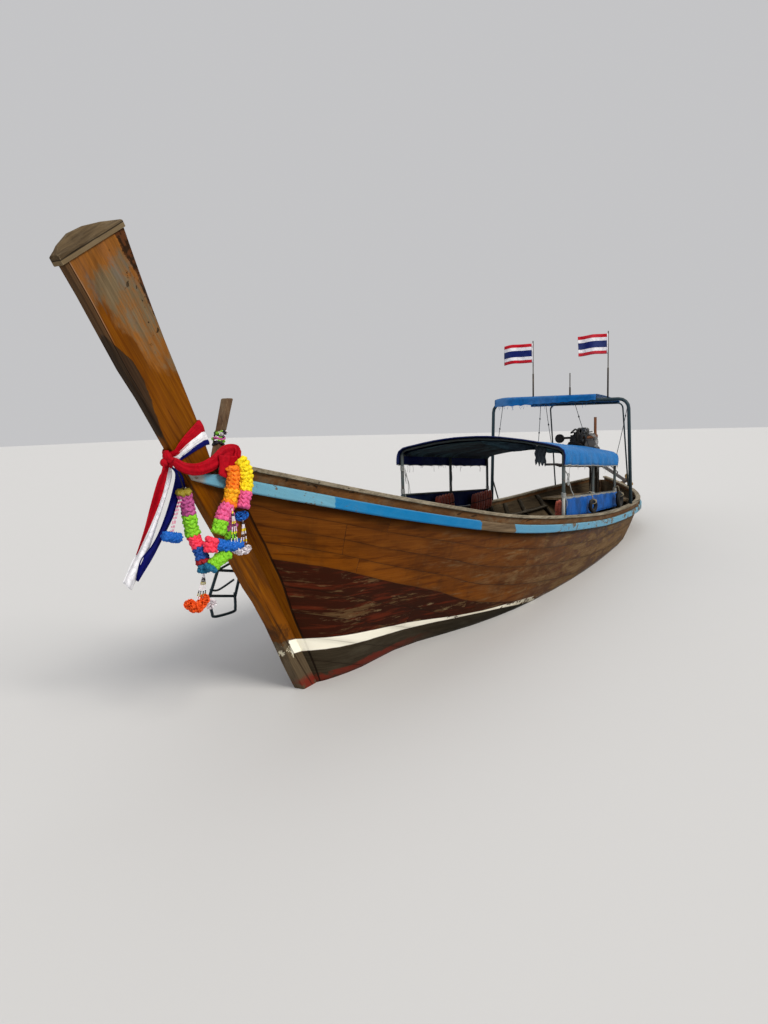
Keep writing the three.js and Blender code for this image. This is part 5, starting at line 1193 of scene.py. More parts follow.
def engine_fittings(finishes):
    """Hoses, pipes, bolts, an injection pump and small housings on the engine.

    The finishes are dark paint, silver, rubber and iron.
    """
    shape = Shape()
    shape.tube([(-4.32, 0.178, 1.3), (-4.31, 0.178, 1.3), (-4.02, 0.178, 1.3), (-4.01, 0.178, 1.3)], [0.03, 0.042, 0.042, 0.03],
               20)
    for k in range(4):
        x = -4.28 + 0.08 * k
        shape.tube([(x, 0.178, 1.33), (x, 0.178, 1.365)], 0.014, 6, 1)
        shape.curve([(x, 0.178, 1.36), (x, 0.19, 1.44), (x + 0.04, 0.155, 1.53), (x + 0.05, 0.09, 1.57)], 6, 0.006, 8, 1)
        shape.tube([(x + 0.05, 0.1, 1.57), (x + 0.05, 0.07, 1.585)], 0.013, 6, 1)
    for k in range(7):
        for y in (-0.165, 0.058):
            shape.tube([(-4.39 + 0.112 * k, y, 1.6), (-4.39 + 0.112 * k, y, 1.624)], 0.012, 6, 1)
    # Hoses over the top and along the side, as radius, finish and points
    for radius, kind, points in (
        (0.027, 2, [(-3.63, -0.05, 1.46), (-3.62, -0.05, 1.56), (-3.72, -0.05, 1.65), (-3.9, -0.06, 1.67),
                    (-4.05, -0.06, 1.615)]),
        (0.022, 2, [(-3.63, 0.07, 1.4), (-3.6, 0.11, 1.52), (-3.72, 0.12, 1.62), (-3.95, 0.07, 1.655), (-4.2, 0.02, 1.64),
                    (-4.36, -0.02, 1.615)]),
        (0.016, 2, [(-3.66, -0.16, 1.61), (-3.78, -0.13, 1.66), (-4.02, -0.16, 1.665), (-4.22, -0.15, 1.62)]),
        (0.01, 1, [(-4.1, 0.05, 1.6), (-4.06, 0.07, 1.66), (-3.96, 0.05, 1.69), (-3.86, 0.07, 1.66), (-3.82, 0.08, 1.6)]),
        (0.012, 2, [(-4.02, 0.178, 1.3), (-3.9, 0.19, 1.24), (-3.8, 0.17, 1.14), (-3.7, 0.16, 1.1)]),
        (0.008, 2, [(-4.4, 0.15, 1.15), (-4.2, 0.17, 1.12), (-3.95, 0.16, 1.17), (-3.75, 0.15, 1.12)]),
    ):
        shape.curve(points, 8, radius, 16 if radius > 0.012 else 10, kind)
    # The bell housing's dark cover above the gearbox
    shape.tube([(-4.77, 0.02, 1.5), (-4.75, 0.02, 1.5), (-4.46, 0.02, 1.5), (-4.44, 0.02, 1.5)], [0.05, 0.075, 0.082, 0.06], 24)
    # The filler with its cap, the oil filter, the starter and the lifting bracket
    shape.tube([(-4.25, -0.06, 1.6), (-4.25, -0.06, 1.66), (-4.25, -0.06, 1.661), (-4.25, -0.06, 1.69), (-4.25, -0.06, 1.695)],
               [0.028, 0.028, 0.036, 0.036, 0.02], 18)
    shape.tube([(-3.86, 0.13, 1.2), (-3.86, 0.14, 1.2), (-3.86, 0.215, 1.2), (-3.86, 0.225, 1.2)], [0.03, 0.04, 0.04, 0.026],
               20, 3)
    shape.tube([(-4.42, 0.17, 1.16), (-4.41, 0.17, 1.16), (-4.2, 0.17, 1.16), (-4.19, 0.17, 1.16)],
               [0.024, 0.036, 0.036, 0.024], 20)
    shape.box((-3.9, -0.03, 1.6), (-3.888, 0.05, 1.7), 1)
    shape.box((-3.93, -0.03, 1.69), (-3.85, 0.05, 1.7), 1)
    # Spokes and bolts of the pulley
    for k in range(6):
        turn = TAU * k / 6
        shape.tube([(-3.586, -0.08 + 0.055 * math.cos(turn), 1.265 + 0.055 * math.sin(turn)),
                    (-3.574, -0.08 + 0.055 * math.cos(turn), 1.265 + 0.055 * math.sin(turn))], 0.011, 6, 1)
    shape.tube([(-3.59, -0.08, 1.265), (-3.57, -0.08, 1.265), (-3.56, -0.08, 1.265)], [0.045, 0.04, 0.022], 20, 1)
    shape.piece("engine_fittings", finishes, "engine_black", "engine", split=40)


class FinishTheEngine(bpy.types.Operator):
    """Gives the engine, its cradle, the tiller and the long tail their metals and paint"""

    bl_idname = "longtail.engine"
    bl_label = "Engine and Tail"
    bl_options = {"REGISTER", "UNDO"}

    def execute(self, context):
        c = colours()
        dark = painted_metal("Engine Paint", c.engine_paint, shade(96, 92, 86), 0.18, rough=0.4, rusty=0.25)
        iron = painted_metal("Cradle Iron", shade(44, 40, 38), c.rust, 0.26, rough=0.6, rusty=0.5)
        alloy = bare_metal("Engine Alloy", shade(74, 76, 80), shade(30, 30, 32), 0.42)
        silver = bare_metal("Bright Bracket", shade(178, 180, 182), shade(110, 108, 104), 0.34)
        brass = bare_metal("Propeller Bronze", shade(190, 146, 78), shade(98, 84, 52), 0.3)
        tube = painted_metal("Tail Tube", shade(34, 36, 40), shade(110, 100, 90), 0.25)
        pipe = painted_metal("Exhaust Iron", shade(88, 66, 48), c.rust, 0.5, rough=0.7, rusty=0.8)
        post = aged_wood("Engine Post Wood", shade(36, 32, 28), shade(22, 20, 18), 0.08, turn=(0, math.radians(90), 0))
        dress("engine_post", post, 0.005)
        for name, finish in (("engine_block", dark), ("front_pulley", dark), ("air_cleaner", dark), ("gearbox", dark),
                             ("cylinder_head", alloy),
                             ("alternator", alloy), ("engine_cradle", iron), ("swivel_yoke", iron), ("exhaust_pipe", pipe),
                             ("tiller", tube), ("tail_tube_and_skeg", tube), ("propeller", brass)):
            dress(name, finish, 0.003 if name not in ("tiller", "exhaust_pipe") else 0.0, 45)
        engine_fittings([dark, silver, rubber("Hose Rubber", shade(18, 18, 19)), iron])
        return {"FINISHED"}


# Cloth

def cloth(name, base, fade=0.25, crease=7.0, thread=None, rough=0.72, sheen=0.0, grime=0.3, scraps=None, relief=0.5, deep=0.004,
          gloss=0.05):
    """Woven cloth or tarpaulin with threads, creases with painted shade along them, fading and dirt."""
    made, t = material(name)
    place = t.place()
    weave = t.use(cloth_weave(), Vector=place, Thread=thread or sizes().thread, Crease=crease)
    film = t.use(dust(), Vector=place, Scale=9.0, Amount=grime)
    colour = t.mix(weave["Fade"] * fade, base, t.mix(0.35, base, shade(150, 172, 190)))
    colour = t.mix(t.between(weave["Weave"], -0.2, 1.0, smooth=False) * 0.2, colour, t.dyed(colour, 140, 140, 140))
    # Painted shade along the crease lines
    colour = t.mix(t.between(weave["Fold"], 0.86, 1.0) * 0.3, colour, t.dyed(colour, 150, 150, 156))
    colour = t.mix(film["Grime"] * (grime * 0.5), colour, t.mix(0.5, colour, shade(40, 36, 30)))
    if scraps is not None:
        lost = t.patches(t.scaled(place, 1, 0.5, 1), 3.4, 0.42, 0.09)
        colour = t.mix(lost["Patches"] * 0.8, colour, scraps)
    colour = t.mix(film["Dust"] * 0.2, colour, shade(150, 150, 144))
    t.surface(colour, t.blend(weave["Fade"], rough, rough + 0.12), weave["Height"], relief, deep, Sheen_Weight=sheen,
              Sheen_Roughness=0.5,
              Specular_IOR_Level=gloss)
    return made


# The canopy's section: (half breadth, height below the peak)
CANOPY_SECTION = [(1.02, -0.33), (1.023, -0.29), (1.023, -0.25), (1.02, -0.215), (1.0, -0.165), (0.945, -0.125), (0.87, -0.106),
                  (0.79, -0.09), (0.665, -0.064), (0.54, -0.042), (0.4, -0.024), (0.27, -0.011), (0.13, -0.003), (0.0, 0.0)]
LINER_SECTION = [(0.955, -0.215), (0.93, -0.185), (0.86, -0.16), (0.76, -0.14), (0.64, -0.118), (0.5, -0.094), (0.36, -0.076),
                 (0.22, -0.064), (0.1, -0.058), (0.0, -0.056)]
ARCHES = (1.6, 0.05, -1.49)


def canopy_peak(x):
    return 1.7 - 0.068 * (1.6 - x)


ARCH_STEP = 1.545


def between_arches(x):
    """0 at an arch and 1 halfway between two."""
    if x > ARCHES[0] or x < ARCHES[2]:
        return 0.0
    return math.sin(math.pi * ((ARCHES[0] - x) / ARCH_STEP % 1.0)) ** 2


def panel_top(x):
    return 1.0 + (x - 1.5) * 0.072


def canopy_top(blue, dark, pale):
    shape, rows = Shape(), []
    half = CANOPY_SECTION
    section = [(y, z, 1) for y, z in half] + [(-y, z, -1) for y, z in reversed(half[:-1])]
    count = 110
    for i in range(count + 1):
        x = 1.66 - 3.27 * i / count
        sag = between_arches(x) * sizes().canopy_sag
        row = []
        for y, z, side in section:
            flat = 1 - (abs(y) / 1.03) ** 4
            lift = -sag * (0.5 + flat) + 0.004 * flat * ripple(x, y, 0, 3.1)
            out = 0.0
            if abs(y) > 1.0:
                low = (z + 0.165) / -0.165
                scallop = 0.01 * abs(math.sin(math.pi * (x - 0.05) / 0.31)) ** 0.8
                lift = -sag * 0.4 + (scallop * low if low > 0 else 0)
                out = low * (0.012 * math.sin(x * 17 + side) + 0.008 * ripple(x, y, 2, 6)) - 0.004
            row.append((x, y + out * side, canopy_peak(x) + z + lift))
        rows.append(row)
    # The underside takes the darker inner blue, which is painted shade
    shape.sheet(rows, 0.004, 0, 1, hem=0)
    # The rope along the hem and the bolt rope over the front arch
    for side in (0, -1):
        shape.tube([Vector(r[side]) for r in rows[::2]], 0.006, 6, 2)
    shape.tube([Vector(p) for p in rows[0]], 0.008, 6, 1)
    shape.tube([Vector(p) for p in rows[-1]], 0.007, 6)
    # Threads and ties hang from the hem
    dice = random.Random(12)
    for side in (0, -1):
        for _ in range(34):
            spot = Vector(rows[dice.randrange(3, count - 2)][side])
            long = dice.uniform(0.015, 0.05) if dice.random() < 0.8 else 0.09
            shape.tube([spot, spot + Vector((dice.uniform(-0.01, 0.01), 0.003, -long * 0.5)),
                        spot + Vector((dice.uniform(-0.015, 0.015), 0, -long))],
                       0.0018, 4, 2)
    made = shape.piece("canopy_top", [blue, dark, pale], "blue_tarp", replaces="canopy_cover")
    cut_size(rows)


def canopy_lining(dark):
    shape, rows = Shape(), []
    half = LINER_SECTION
    section = [(y, z) for y, z in half] + [(-y, z) for y, z in reversed(half[:-1])]
    count = 90
    for i in range(count + 1):
        x = 1.56 - 3.02 * i / count
        sag = between_arches(x)
        row = []
        for y, z in section:
            billow = max(0.0, 0.6 + 0.6 * ripple(x, y, 4, 1.5)) * (1 - (abs(y) / 0.99) ** 3)
            row.append((x, y, canopy_peak(x) + z - 0.045 * sag * billow - 0.004 * abs(ripple(x, y, 7, 7))))
        rows.append(row)
    shape.sheet(rows, 0.003)
    made = shape.piece("canopy_lining", dark, "blue_tarp")
    cut_size(rows)
    # A loose fold of the lining hangs below the front arch to port
    shape, rows = Shape(), []
    edge = [(0.02, 0.03), (0.14, 0.055), (0.27, 0.085), (0.38, 0.105), (0.48, 0.085), (0.58, 0.055), (0.68, 0.04), (0.8, 0.055),
            (0.93, 0.02)]
    for k in range(6):
        row = []
        for i in range(33):
            y = 0.02 + 0.91 * i / 32
            drop = along(edge, y) * k / 5
            top = along([(yy, zz) for yy, zz in reversed(LINER_SECTION)], y) + 0.006
            row.append((1.556 - 0.05 * math.sin(1.4 * k / 5) + 0.008 * math.sin(y * 31 + k), y, canopy_peak(1.56) + top - drop))
        rows.append(row)
    shape.sheet(rows, 0.003)
    made = shape.piece("lining_fold", dark, "blue_tarp")
    cut_size(rows)


def side_panels(blue, dark):
    for name, side in (("side_panel_port", 1), ("side_panel_starboard", -1)):
        shape, rows = Shape(), []
        count = 80
        for k in range(9):
            row = []
            for i in range(count + 1):
                x = 1.6 - 3.1 * i / count
                depth = k / 8
                low = along([(-1.5, 0.206), (1.61, 0.228)], x)
                wave = 0.007 * math.sin(x * 13.1 + 0.6) * math.sin(math.pi * depth * 0.9) + 0.004 * ripple(x, depth, side, 5)
                droop = 0.01 * abs(math.sin(math.pi * (1.6 - x) / 0.388))
                row.append((x, side * (1.013 + wave), panel_top(x) - low * depth - droop * (1 - 0.5 * depth)))
            rows.append(row)
        # The inner side takes the darker inner blue, which is painted shade
        shape.sheet(rows, 0.0035, 0 if side > 0 else 1, 1 if side > 0 else 0, hem=0)
        shape.tube([Vector(p) for p in rows[-1][::2]], 0.005, 6)
        made = shape.piece("tarp_" + name, [blue, dark], "blue_tarp", replaces=name)
        cut_size(rows)


def canopy_lashings(white):
    """White cord wound along the port rail, and loops and loose ends of rope on the posts."""
    shape = Shape()
    dice = random.Random(4)
    turns = 104
    path = []
    for i in range(turns * 6 + 1):
        x, turn = 1.58 - 3.06 * i / (turns * 6), TAU * i / 6
        path.append((x, 0.996 + 0.021 * math.cos(turn), panel_top(x) + 0.001 + 0.02 * math.sin(turn)))
    shape.tube(path[::2], 0.0022, 4)
    for x, y, low, high in ((1.6, -0.985, 1.02, 1.08), (1.6, -0.985, 1.3, 1.36), (1.6, 0.985, 1.02, 1.07),
                            (0.05, 0.985, 0.88, 0.93),
                            (-1.49, 0.985, 0.78, 0.84), (-1.49, -0.985, 0.8, 0.84)):
        turns = int((high - low) / 0.009)
        shape.tube([(x + 0.024 * math.cos(TAU * i / 8), y + 0.024 * math.sin(TAU * i / 8), low + (high - low) * i / (turns * 8))
                    for i in range(turns * 8 + 1)], 0.0045, 5)
        for k in range(2):
            away = dice.uniform(-0.05, 0.05)
            shape.curve([(x, y + 0.024, low + 0.01), (x + away * 0.6, y + 0.034, low - 0.06),
                         (x + away, y + 0.03, low - 0.13 - 0.03 * k)], 4, 0.0028, 4)
    # A rope is looped on the front post to port and slants down to the rail, and ropes tie back the starboard posts
    shape.curve([(1.585, 0.965, 1.33), (1.53, 0.99, 1.3), (1.46, 1.0, 1.24), (1.42, 1.0, 1.17), (1.46, 1.0, 1.14),
                 (1.5, 1.0, 1.19), (1.44, 1.0, 1.22), (1.38, 1.0, 1.14), (1.31, 1.005, 1.06), (1.22, 1.01, 1.0)], 6, 0.007, 8,
                 0, 3, 300.0)
    shape.curve([(1.5, 1.0, 1.2), (1.46, 1.005, 1.27), (1.4, 1.0, 1.25), (1.43, 1.0, 1.18)], 6, 0.006, 8, 0, 3, 300.0)
    for top, foot in (((1.58, -0.96, 1.33), (1.46, -0.98, 0.99)), ((1.6, -0.96, 1.3), (1.57, -0.9, 1.02)),
                      ((0.07, -0.96, 1.2), (0.12, -0.97, 0.92))):
        middle = [(a + b) / 2 for a, b in zip(top, foot)]
        middle[1] += 0.02
        shape.curve([top, middle, foot], 6, 0.0035, 5)
    shape.piece("canopy_lashings", white, "grey_tube")


class DressTheCanopy(bpy.types.Operator):
    """Makes the canopy's blue tarpaulin, its sagging lining and the two side panels"""

    bl_idname = "longtail.canopy"
    bl_label = "Canopy and Side Panels"
    bl_options = {"REGISTER", "UNDO"}

    def execute(self, context):
        c = colours()
        blue = cloth("Canopy Tarpaulin", c.tarp_blue, 0.35, 5.0, rough=0.5, gloss=0.06, grime=0.15)
        # The canopy's underside and the panels' inner sides get their blue darkened as painted shade
        dark = cloth("Tarpaulin Inner Shade", c.tarp_inner_shade, 0.2, 9.0, rough=0.7)
        worn = cloth("Worn Lining", shade(18, 30, 42), 0.2, 9.0, rough=0.7, scraps=shade(78, 110, 122))
        panel = cloth("Panel Tarpaulin", shade(10, 86, 168), 0.1, 6.0, rough=0.5, scraps=shade(14, 56, 104), gloss=0.04,
                      grime=0.1)
        pale = cloth("Hem Cord", shade(158, 160, 158), 0.2, 30.0, 0.004, grime=0.5)
        canopy_top(blue, dark, pale)
        canopy_lining(worn)
        side_panels(panel, dark)
        canopy_lashings(pale)
        return {"FINISHED"}


def stern_awning(blue):
    top = [(-4.172, 2.105), (-4.166, 2.135), (-4.15, 2.152), (-3.9, 2.176), (-3.6, 2.198), (-3.25, 2.214), (-2.9, 2.226),
           (-2.5, 2.234),
           (-2.2, 2.239), (-2.098, 2.238), (-2.066, 2.222), (-2.058, 2.196), (-2.058, 2.15), (-2.056, 2.11), (-2.054, 2.078)]
    shape, rows = Shape(), []
    places = smooth_path([(x, 0, z) for x, z in top], 4)
    for x, _, z, _ in places:
        row = []
        inner = min(1.0, max(0.0, min(-2.15 - x, x + 4.1) / 0.6))
        for j in range(49):
            y = 0.59 - 1.63 * j / 48
            across = math.sin(math.pi * j / 48)
            lift = -inner * (0.02 * across + 0.006 * (1 + ripple(x, y, 0, 2.6)))
            if x > -2.07 and z < 2.2:
                lift += 0.036 * (y + 1.04) * (2.2 - z) / 0.12
                lift += (0.014 * abs(math.sin(y * 21)) + 0.016 * max(0.0, ripple(y, 1, 0, 4))) * (2.2 - z) / 0.12
            lift -= 0.03 * max(0.0, (-0.84 - y) / 0.2) ** 2 * min(1.0, max(0.0, (z - 2.1) / 0.1))
            row.append((x, y, z + lift))
        rows.append(row)
    shape.sheet(rows, 0.004)
    dice = random.Random(9)
    for _ in range(26):
        y = dice.uniform(-1.0, 0.57)
        long = dice.uniform(0.02, 0.075)
        shape.tube([(-2.054, y, 2.1), (-2.05 + dice.uniform(-0.01, 0.012), y + dice.uniform(-0.01, 0.01), 2.1 - long * 0.5),
                    (-2.052, y + dice.uniform(-0.015, 0.015), 2.1 - long)], 0.0022, 4)
    made = shape.piece("awning_sheet", blue, "blue_tarp", replaces="stern_awning")
    cut_size(rows)


def awning_ties(finish):
    """Lines with knots that tie the awning's front edge down to the canopy's rear arch."""
    shape = Shape()
    for top, foot, knots in (((-2.056, -0.9, 2.11), (-1.6, -0.86, 1.4), (0.5,)),
                             ((-2.056, -0.27, 2.11), (-1.52, -0.163, 1.5), (0.35, 0.7)),
                             ((-2.056, -0.19, 2.11), (-1.52, 0.04, 1.5), (0.5,)),
                             ((-2.056, 0.27, 2.11), (-1.52, 0.6, 1.46), (0.3, 0.62)),
                             ((-2.35, 1.03, 2.1), (-1.56, 1.0, 1.33), (0.25,))):
        top, foot = Vector(top), Vector(foot)
        shape.tube([top.lerp(foot, k / 8) + Vector((0, 0, -0.02 * math.sin(math.pi * k / 8))) for k in range(9)], 0.0045, 6)
        for share in knots:
            shape.ball(top.lerp(foot, share) - Vector((0, 0, 0.018)), (0.012, 0.012, 0.016), 0, 6, 8, 0.3)
    shape.piece("awning_ties", finish, "grey_tube")


def hung_flag(name, node, top, high, finishes, phase):
    shape = Shape()
    way, out = Vector((0.46, -0.888, 0)), Vector((0.888, 0.46, 0))
    rows, count, many = [], 30, 18
    for i in range(count + 1):
        u = i / count
        row = []
        for j in range(many + 1):
            v = j / many
            slow, quick = math.sin(u * 9.5 + v * 1.4 + phase), math.sin(u * 19 - v * 4 + phase * 2)
            wave = sizes().flag_wave * (slow * (0.25 + u) + 0.35 * quick * u)
            drop = 0.03 * u * u + 0.008 * math.sin(u * 7 + phase) * u
            row.append(Vector(top) + way * (0.013 + 0.445 * u) + out * wave - Vector((0, 0, high * v + drop)))
        rows.append(row)
    stripe = [0] * 3 + [1] * 3 + [2] * 6 + [1] * 3 + [0] * 3
    shape.sheet(rows, 0.0025, lambda i, j: stripe[j])
    shape.tube([row for row in rows[0][::3]], 0.01, 8, 1)
    made = shape.piece(name, finishes, "striped_cloth", replaces=node)
    cut_size(rows)


class DressTheStern(bpy.types.Operator):
    """Makes the awning over the stern with its hem and ties, and the flags"""

    bl_idname = "longtail.stern"
    bl_label = "Stern Awning and Flags"
    bl_options = {"REGISTER", "UNDO"}

    def execute(self, context):
        c = colours()
        stern_awning(cloth("Awning Tarpaulin", c.awning_blue, 0.5, 6.0, rough=0.55, gloss=0.08))
        awning_ties(cloth("Tie Line", shade(30, 34, 40), 0.2, 40.0, 0.004, grime=0.2))
        red = cloth("Flag Red", shade(186, 16, 34), 0.2, 9.0, 0.001, grime=0.1)
        white = cloth("Flag White", shade(230, 228, 232), 0.1, 9.0, 0.001, grime=0.1)
        blue = cloth("Flag Blue", shade(20, 30, 96), 0.2, 9.0, 0.001, grime=0.1)
        hung_flag("flag_cloth_1", "flag_1", (-2.1, -0.405, 3.075), 0.3, [red, white, blue], 0.0)
        hung_flag("flag_cloth_2", "flag_2", (-2.1, 0.765, 3.14), 0.3, [red, white, blue], 2.1)
        return {"FINISHED"}


# The sash

# Edges of each tail from its top to its tip, as points on its forward and aft edge
RED_TAIL = ([(6.666, 0.013, 1.721), (6.674, 0.002, 1.662), (6.698, -0.005, 1.622), (6.725, -0.042, 1.489),
             (6.745, -0.085, 1.346), (6.775, -0.125, 1.215)],
            [(6.627, 0.013, 1.719), (6.619, 0.006, 1.684), (6.625, 0.0, 1.65), (6.647, -0.029, 1.532), (6.688, -0.07, 1.398),
             (6.77, -0.127, 1.208)])
WHITE_TAIL = ([(6.649, 0.008, 1.71), (6.626, 0.001, 1.659), (6.649, -0.034, 1.515), (6.696, -0.082, 1.356), (6.748, -0.115, 1.25),
               (6.794, -0.139, 1.171), (6.84, -0.171, 1.061)],
              [(6.613, 0.006, 1.702), (6.585, -0.003, 1.638), (6.607, -0.031, 1.526), (6.638, -0.072, 1.39),
               (6.668, -0.114, 1.253),
               (6.705, -0.149, 1.136), (6.768, -0.187, 1.001)])
BLUE_TAIL = ([(6.623, 0.002, 1.695), (6.565, -0.001, 1.646), (6.571, -0.026, 1.542), (6.592, -0.063, 1.42), (6.627, -0.096, 1.31),
              (6.67, -0.118, 1.237), (6.734, -0.139, 1.168), (6.743, -0.172, 1.055)],
             [(6.582, -0.002, 1.685), (6.476, -0.007, 1.614), (6.468, -0.028, 1.534), (6.5, -0.054, 1.45), (6.535, -0.08, 1.364),
              (6.59, -0.113, 1.254), (6.645, -0.144, 1.153), (6.724, -0.176, 1.043)])
SCARF = [(6.661, 0.088, 1.721), (6.593, 0.098, 1.68), (6.487, 0.102, 1.664), (6.365, 0.098, 1.686), (6.25, 0.094, 1.738),
         (6.19, 0.108, 1.744), (6.182, 0.138, 1.724), (6.2, 0.16, 1.7)]


def prow_edges(z):
    """The prow's front and back x at a height, and half its width at each."""
    return (along(PROW_FRONT, z), along(PROW_BACK, z), along([(1.62, 0.0294), (2.059, 0.025)], z),
            along([(1.64, 0.048), (1.942, 0.028), (2.185, 0.025)], z))


def sash_wrap(finishes):
    # Each band climbs round the prow from the knot to the back edge. Columns: low and high share of the wrap, finish
    for number, (low, high, kind) in enumerate(((0.5, 1.0, 0), (0.17, 0.58, 1), (-0.02, 0.24, 2))):
        shape, rows = Shape(), []
        for k in range(13):
            part = low + (high - low) * k / 12
            front_z, back_z = 1.715 + 0.06 * part, 1.8 + 0.142 * part
            fx, _, fore, _ = prow_edges(front_z)
            _, bx, _, aft = prow_edges(back_z)
            proud = 0.006 - 0.0015 * number + 0.004 * math.sin(math.pi * k / 12)
            ahead = fx + proud + 0.016
            loop = [(ahead, -fore * 0.4, front_z - 0.006), (ahead, fore * 0.4, front_z - 0.006),
                    (ahead - 0.012, fore + proud, front_z - 0.004)]
            def side(s, turn):
                pleat = 0.0028 * math.sin(k * 2.3 + s * turn) * (1.4 - s) + 0.002 * ripple(s, k, number, 2.0)
                return (fx + (bx - fx) * s, fore + (aft - fore) * s + proud + pleat + 0.01 * (1 - s) ** 3,
                        front_z + (back_z - front_z) * s ** 0.92)
            for i in range(19):
                loop.append(side(0.03 + 0.94 * i / 18, 5))
            bulge = 0.03 - 0.02 * part
            loop += [(bx - proud - bulge * 0.5, aft + proud + bulge * 0.2, back_z), (bx - proud - bulge, aft * 0.5, back_z),
                     (bx - proud - bulge, -aft * 0.5, back_z),
                     (bx - proud - bulge * 0.5, -aft - proud - bulge * 0.2, back_z)]
            for i in range(19):
                x, y, z = side(0.97 - 0.94 * i / 18, 6)
                loop.append((x, -y, z))
            loop.append((ahead - 0.012, -fore - proud, front_z - 0.004))
            loop.append(loop[0])
            rows.append(loop)
        shape.sheet(rows, 0.003)
        made = shape.piece("sash_band_%d" % (number + 1), [finishes[kind]], "striped_cloth",
                           replaces="sash_wrap" if number == 0 else ())
        cut_size(rows)


def sash_tails(finishes):
    for number, (fore, aft) in enumerate((RED_TAIL, WHITE_TAIL, BLUE_TAIL)):
        shape, rows = Shape(), []
        first, second = smooth_path(fore, 6), smooth_path(aft, 6)
        for i, (a, b) in enumerate(zip(first, second)):
            a, b = Vector(a[:3]), Vector(b[:3])
            across = (b - a)
            out = Vector((0.62, 0.78, 0.0))
            row = []
            for j in range(15):
                s = j / 14
                down = i / (len(first) - 1)
                fold = 0.01 * math.sin(s * (9.5 if number else 6.0) + 0.8 * number + down * 1.2) * min(1.0,
                        down * 5) * (1 - 0.3 * down)
                row.append(a + across * s + out * (fold + (0.008, -0.006, 0.002)[number]))
            rows.append(row)
        shape.sheet(rows, 0.0025)
        made = shape.piece("sash_tail_%d" % (number + 1), [finishes[number]], "striped_cloth",
                           replaces="sash_tails" if number == 0 else ())
        cut_size(rows)
    knot = Shape()
    for middle, size, tilt in (((6.64, 0.022, 1.742), (0.03, 0.032, 0.034), 0.5),
                               ((6.622, 0.03, 1.716), (0.032, 0.034, 0.024), -0.3),
                               ((6.655, 0.012, 1.712), (0.022, 0.028, 0.028), 0.2),
                               ((6.638, 0.052, 1.722), (0.026, 0.034, 0.022), 0.1)):
        knot.ball(middle, [0.86 * s for s in size], 0, 14, 20, 0.16, Euler((0, tilt, 0.4)).to_matrix())
    knot.curve([(6.613, -0.013, 1.767), (6.64, 0.018, 1.765), (6.65, 0.046, 1.738), (6.64, 0.052, 1.712),
                (6.623, 0.022, 1.692)], 6, 0.016, 14, 0, 4, 20.0)
    knot.piece("sash_knot", finishes[0], "red_cloth")


def twisted_scarf(red):
    # An oval roll of cloth with long folds that turn slowly about it
    shape = Shape()
    path = smooth_path(SCARF, 14)
    count = len(path)
    run, rings, sides = 0.0, [], 72
    for i, point in enumerate(path):
        here = Vector(point[:3])
        before, after = Vector(path[max(i - 1, 0)][:3]), Vector(path[min(i + 1, count - 1)][:3])
        run += (here - before).length
        way = (after - before).normalized()
        over = (Vector((0, 0, 1)) - way * way.z).normalized()
        side = way.cross(over)
        part = i / (count - 1)
        tall = along([(0.0, 0.022), (0.12, 0.03), (0.35, 0.04), (0.55, 0.05), (0.78, 0.058), (0.9, 0.05), (1.0, 0.036)], part)
        deep = along([(0.0, 0.02), (0.3, 0.024), (0.8, 0.028), (1.0, 0.024)], part)
        for k in range(sides):
            turn = TAU * k / sides
            fine = math.sin(7 * turn + 3.5 * run + 0.8 * math.sin(9 * run))
            groove = abs(math.sin(2.5 * turn + 1.8 * run + 0.5 * math.sin(7 * run))) ** 0.5
            fold = 1 + 0.09 * fine - 0.16 * groove
            fold += 0.02 * noise.noise(Vector((run * 6, math.cos(turn) * 2, math.sin(turn) * 2)))
            rings.append(here + over * math.cos(turn) * tall * fold + side * math.sin(turn) * deep * fold)
    faces = [[i * sides + k, (i + 1) * sides + k, (i + 1) * sides + (k + 1) % sides,
              i * sides + (k + 1) % sides] for i in range(count - 1) for k in range(sides)]
    faces += [[(count - 1) * sides + k for k in range(sides)][::-1], list(range(sides))]
    shape.add(rings, [face[::-1] for face in faces])
    made = shape.piece("scarf_roll", red, "red_cloth", replaces="scarf")
    # The scarf's end hangs as a darker fold under the roll behind the garlands
    shape, rows = Shape(), []
    for k in range(10):
        row = []
        for i in range(13):
            s = i / 12
            base = Vector((6.335 - 0.14 * s, 0.12 + 0.043 * s, 1.738 - 0.014 * s))
            drop = (0.098 + 0.05 * math.sin(s * 3.0)) * k / 9
            row.append(base + Vector((0.006 * math.sin(s * 14), 0.012 * math.sin(s * 16 + k * 0.3), -drop)))
        rows.append(row)
    shape.sheet(rows, 0.003)
    made = shape.piece("scarf_end", red, "red_cloth")
    cut_size(rows)


class TieTheSash(bpy.types.Operator):
    """Makes the sash round the prow, its knot and tails, and the twisted scarf"""

    bl_idname = "longtail.sash"
    bl_label = "Sash and Scarf"
    bl_options = {"REGISTER", "UNDO"}

    def execute(self, context):
        c = colours()
        red = cloth("Sash Red", c.scarf_red, 0.03, 14.0, 0.001, rough=0.6, grime=0.08, relief=0.3, deep=0.005, gloss=0.03)
        white = cloth("Sash White", c.sash_white, 0.03, 14.0, 0.001, rough=0.6, grime=0.1, relief=0.3, deep=0.005, gloss=0.03)
        navy = cloth("Sash Navy", c.sash_blue, 0.03, 14.0, 0.001, rough=0.6, grime=0.08, relief=0.3, deep=0.005, gloss=0.03)
        sash_wrap([red, white, navy])
        sash_tails([red, white, navy])
        twisted_scarf(red)
        return {"FINISHED"}


# Garlands

FLOWER_COLOURS = {
    "orange": (255, 136, 2), "amber": (255, 186, 4), "yellow": (255, 236, 4), "olive": (150, 138, 30), "pink": (236, 96, 156),
    "purple": (188, 84, 150),
    "green": (136, 220, 36), "coral": (255, 60, 92), "blue": (0, 76, 164), "azure": (0, 104, 206), "teal": (0, 106, 146),
    "crimson": (160, 8, 26),
    "white": (240, 240, 246), "tangerine": (255, 96, 6), "black": (30, 26, 36),
}


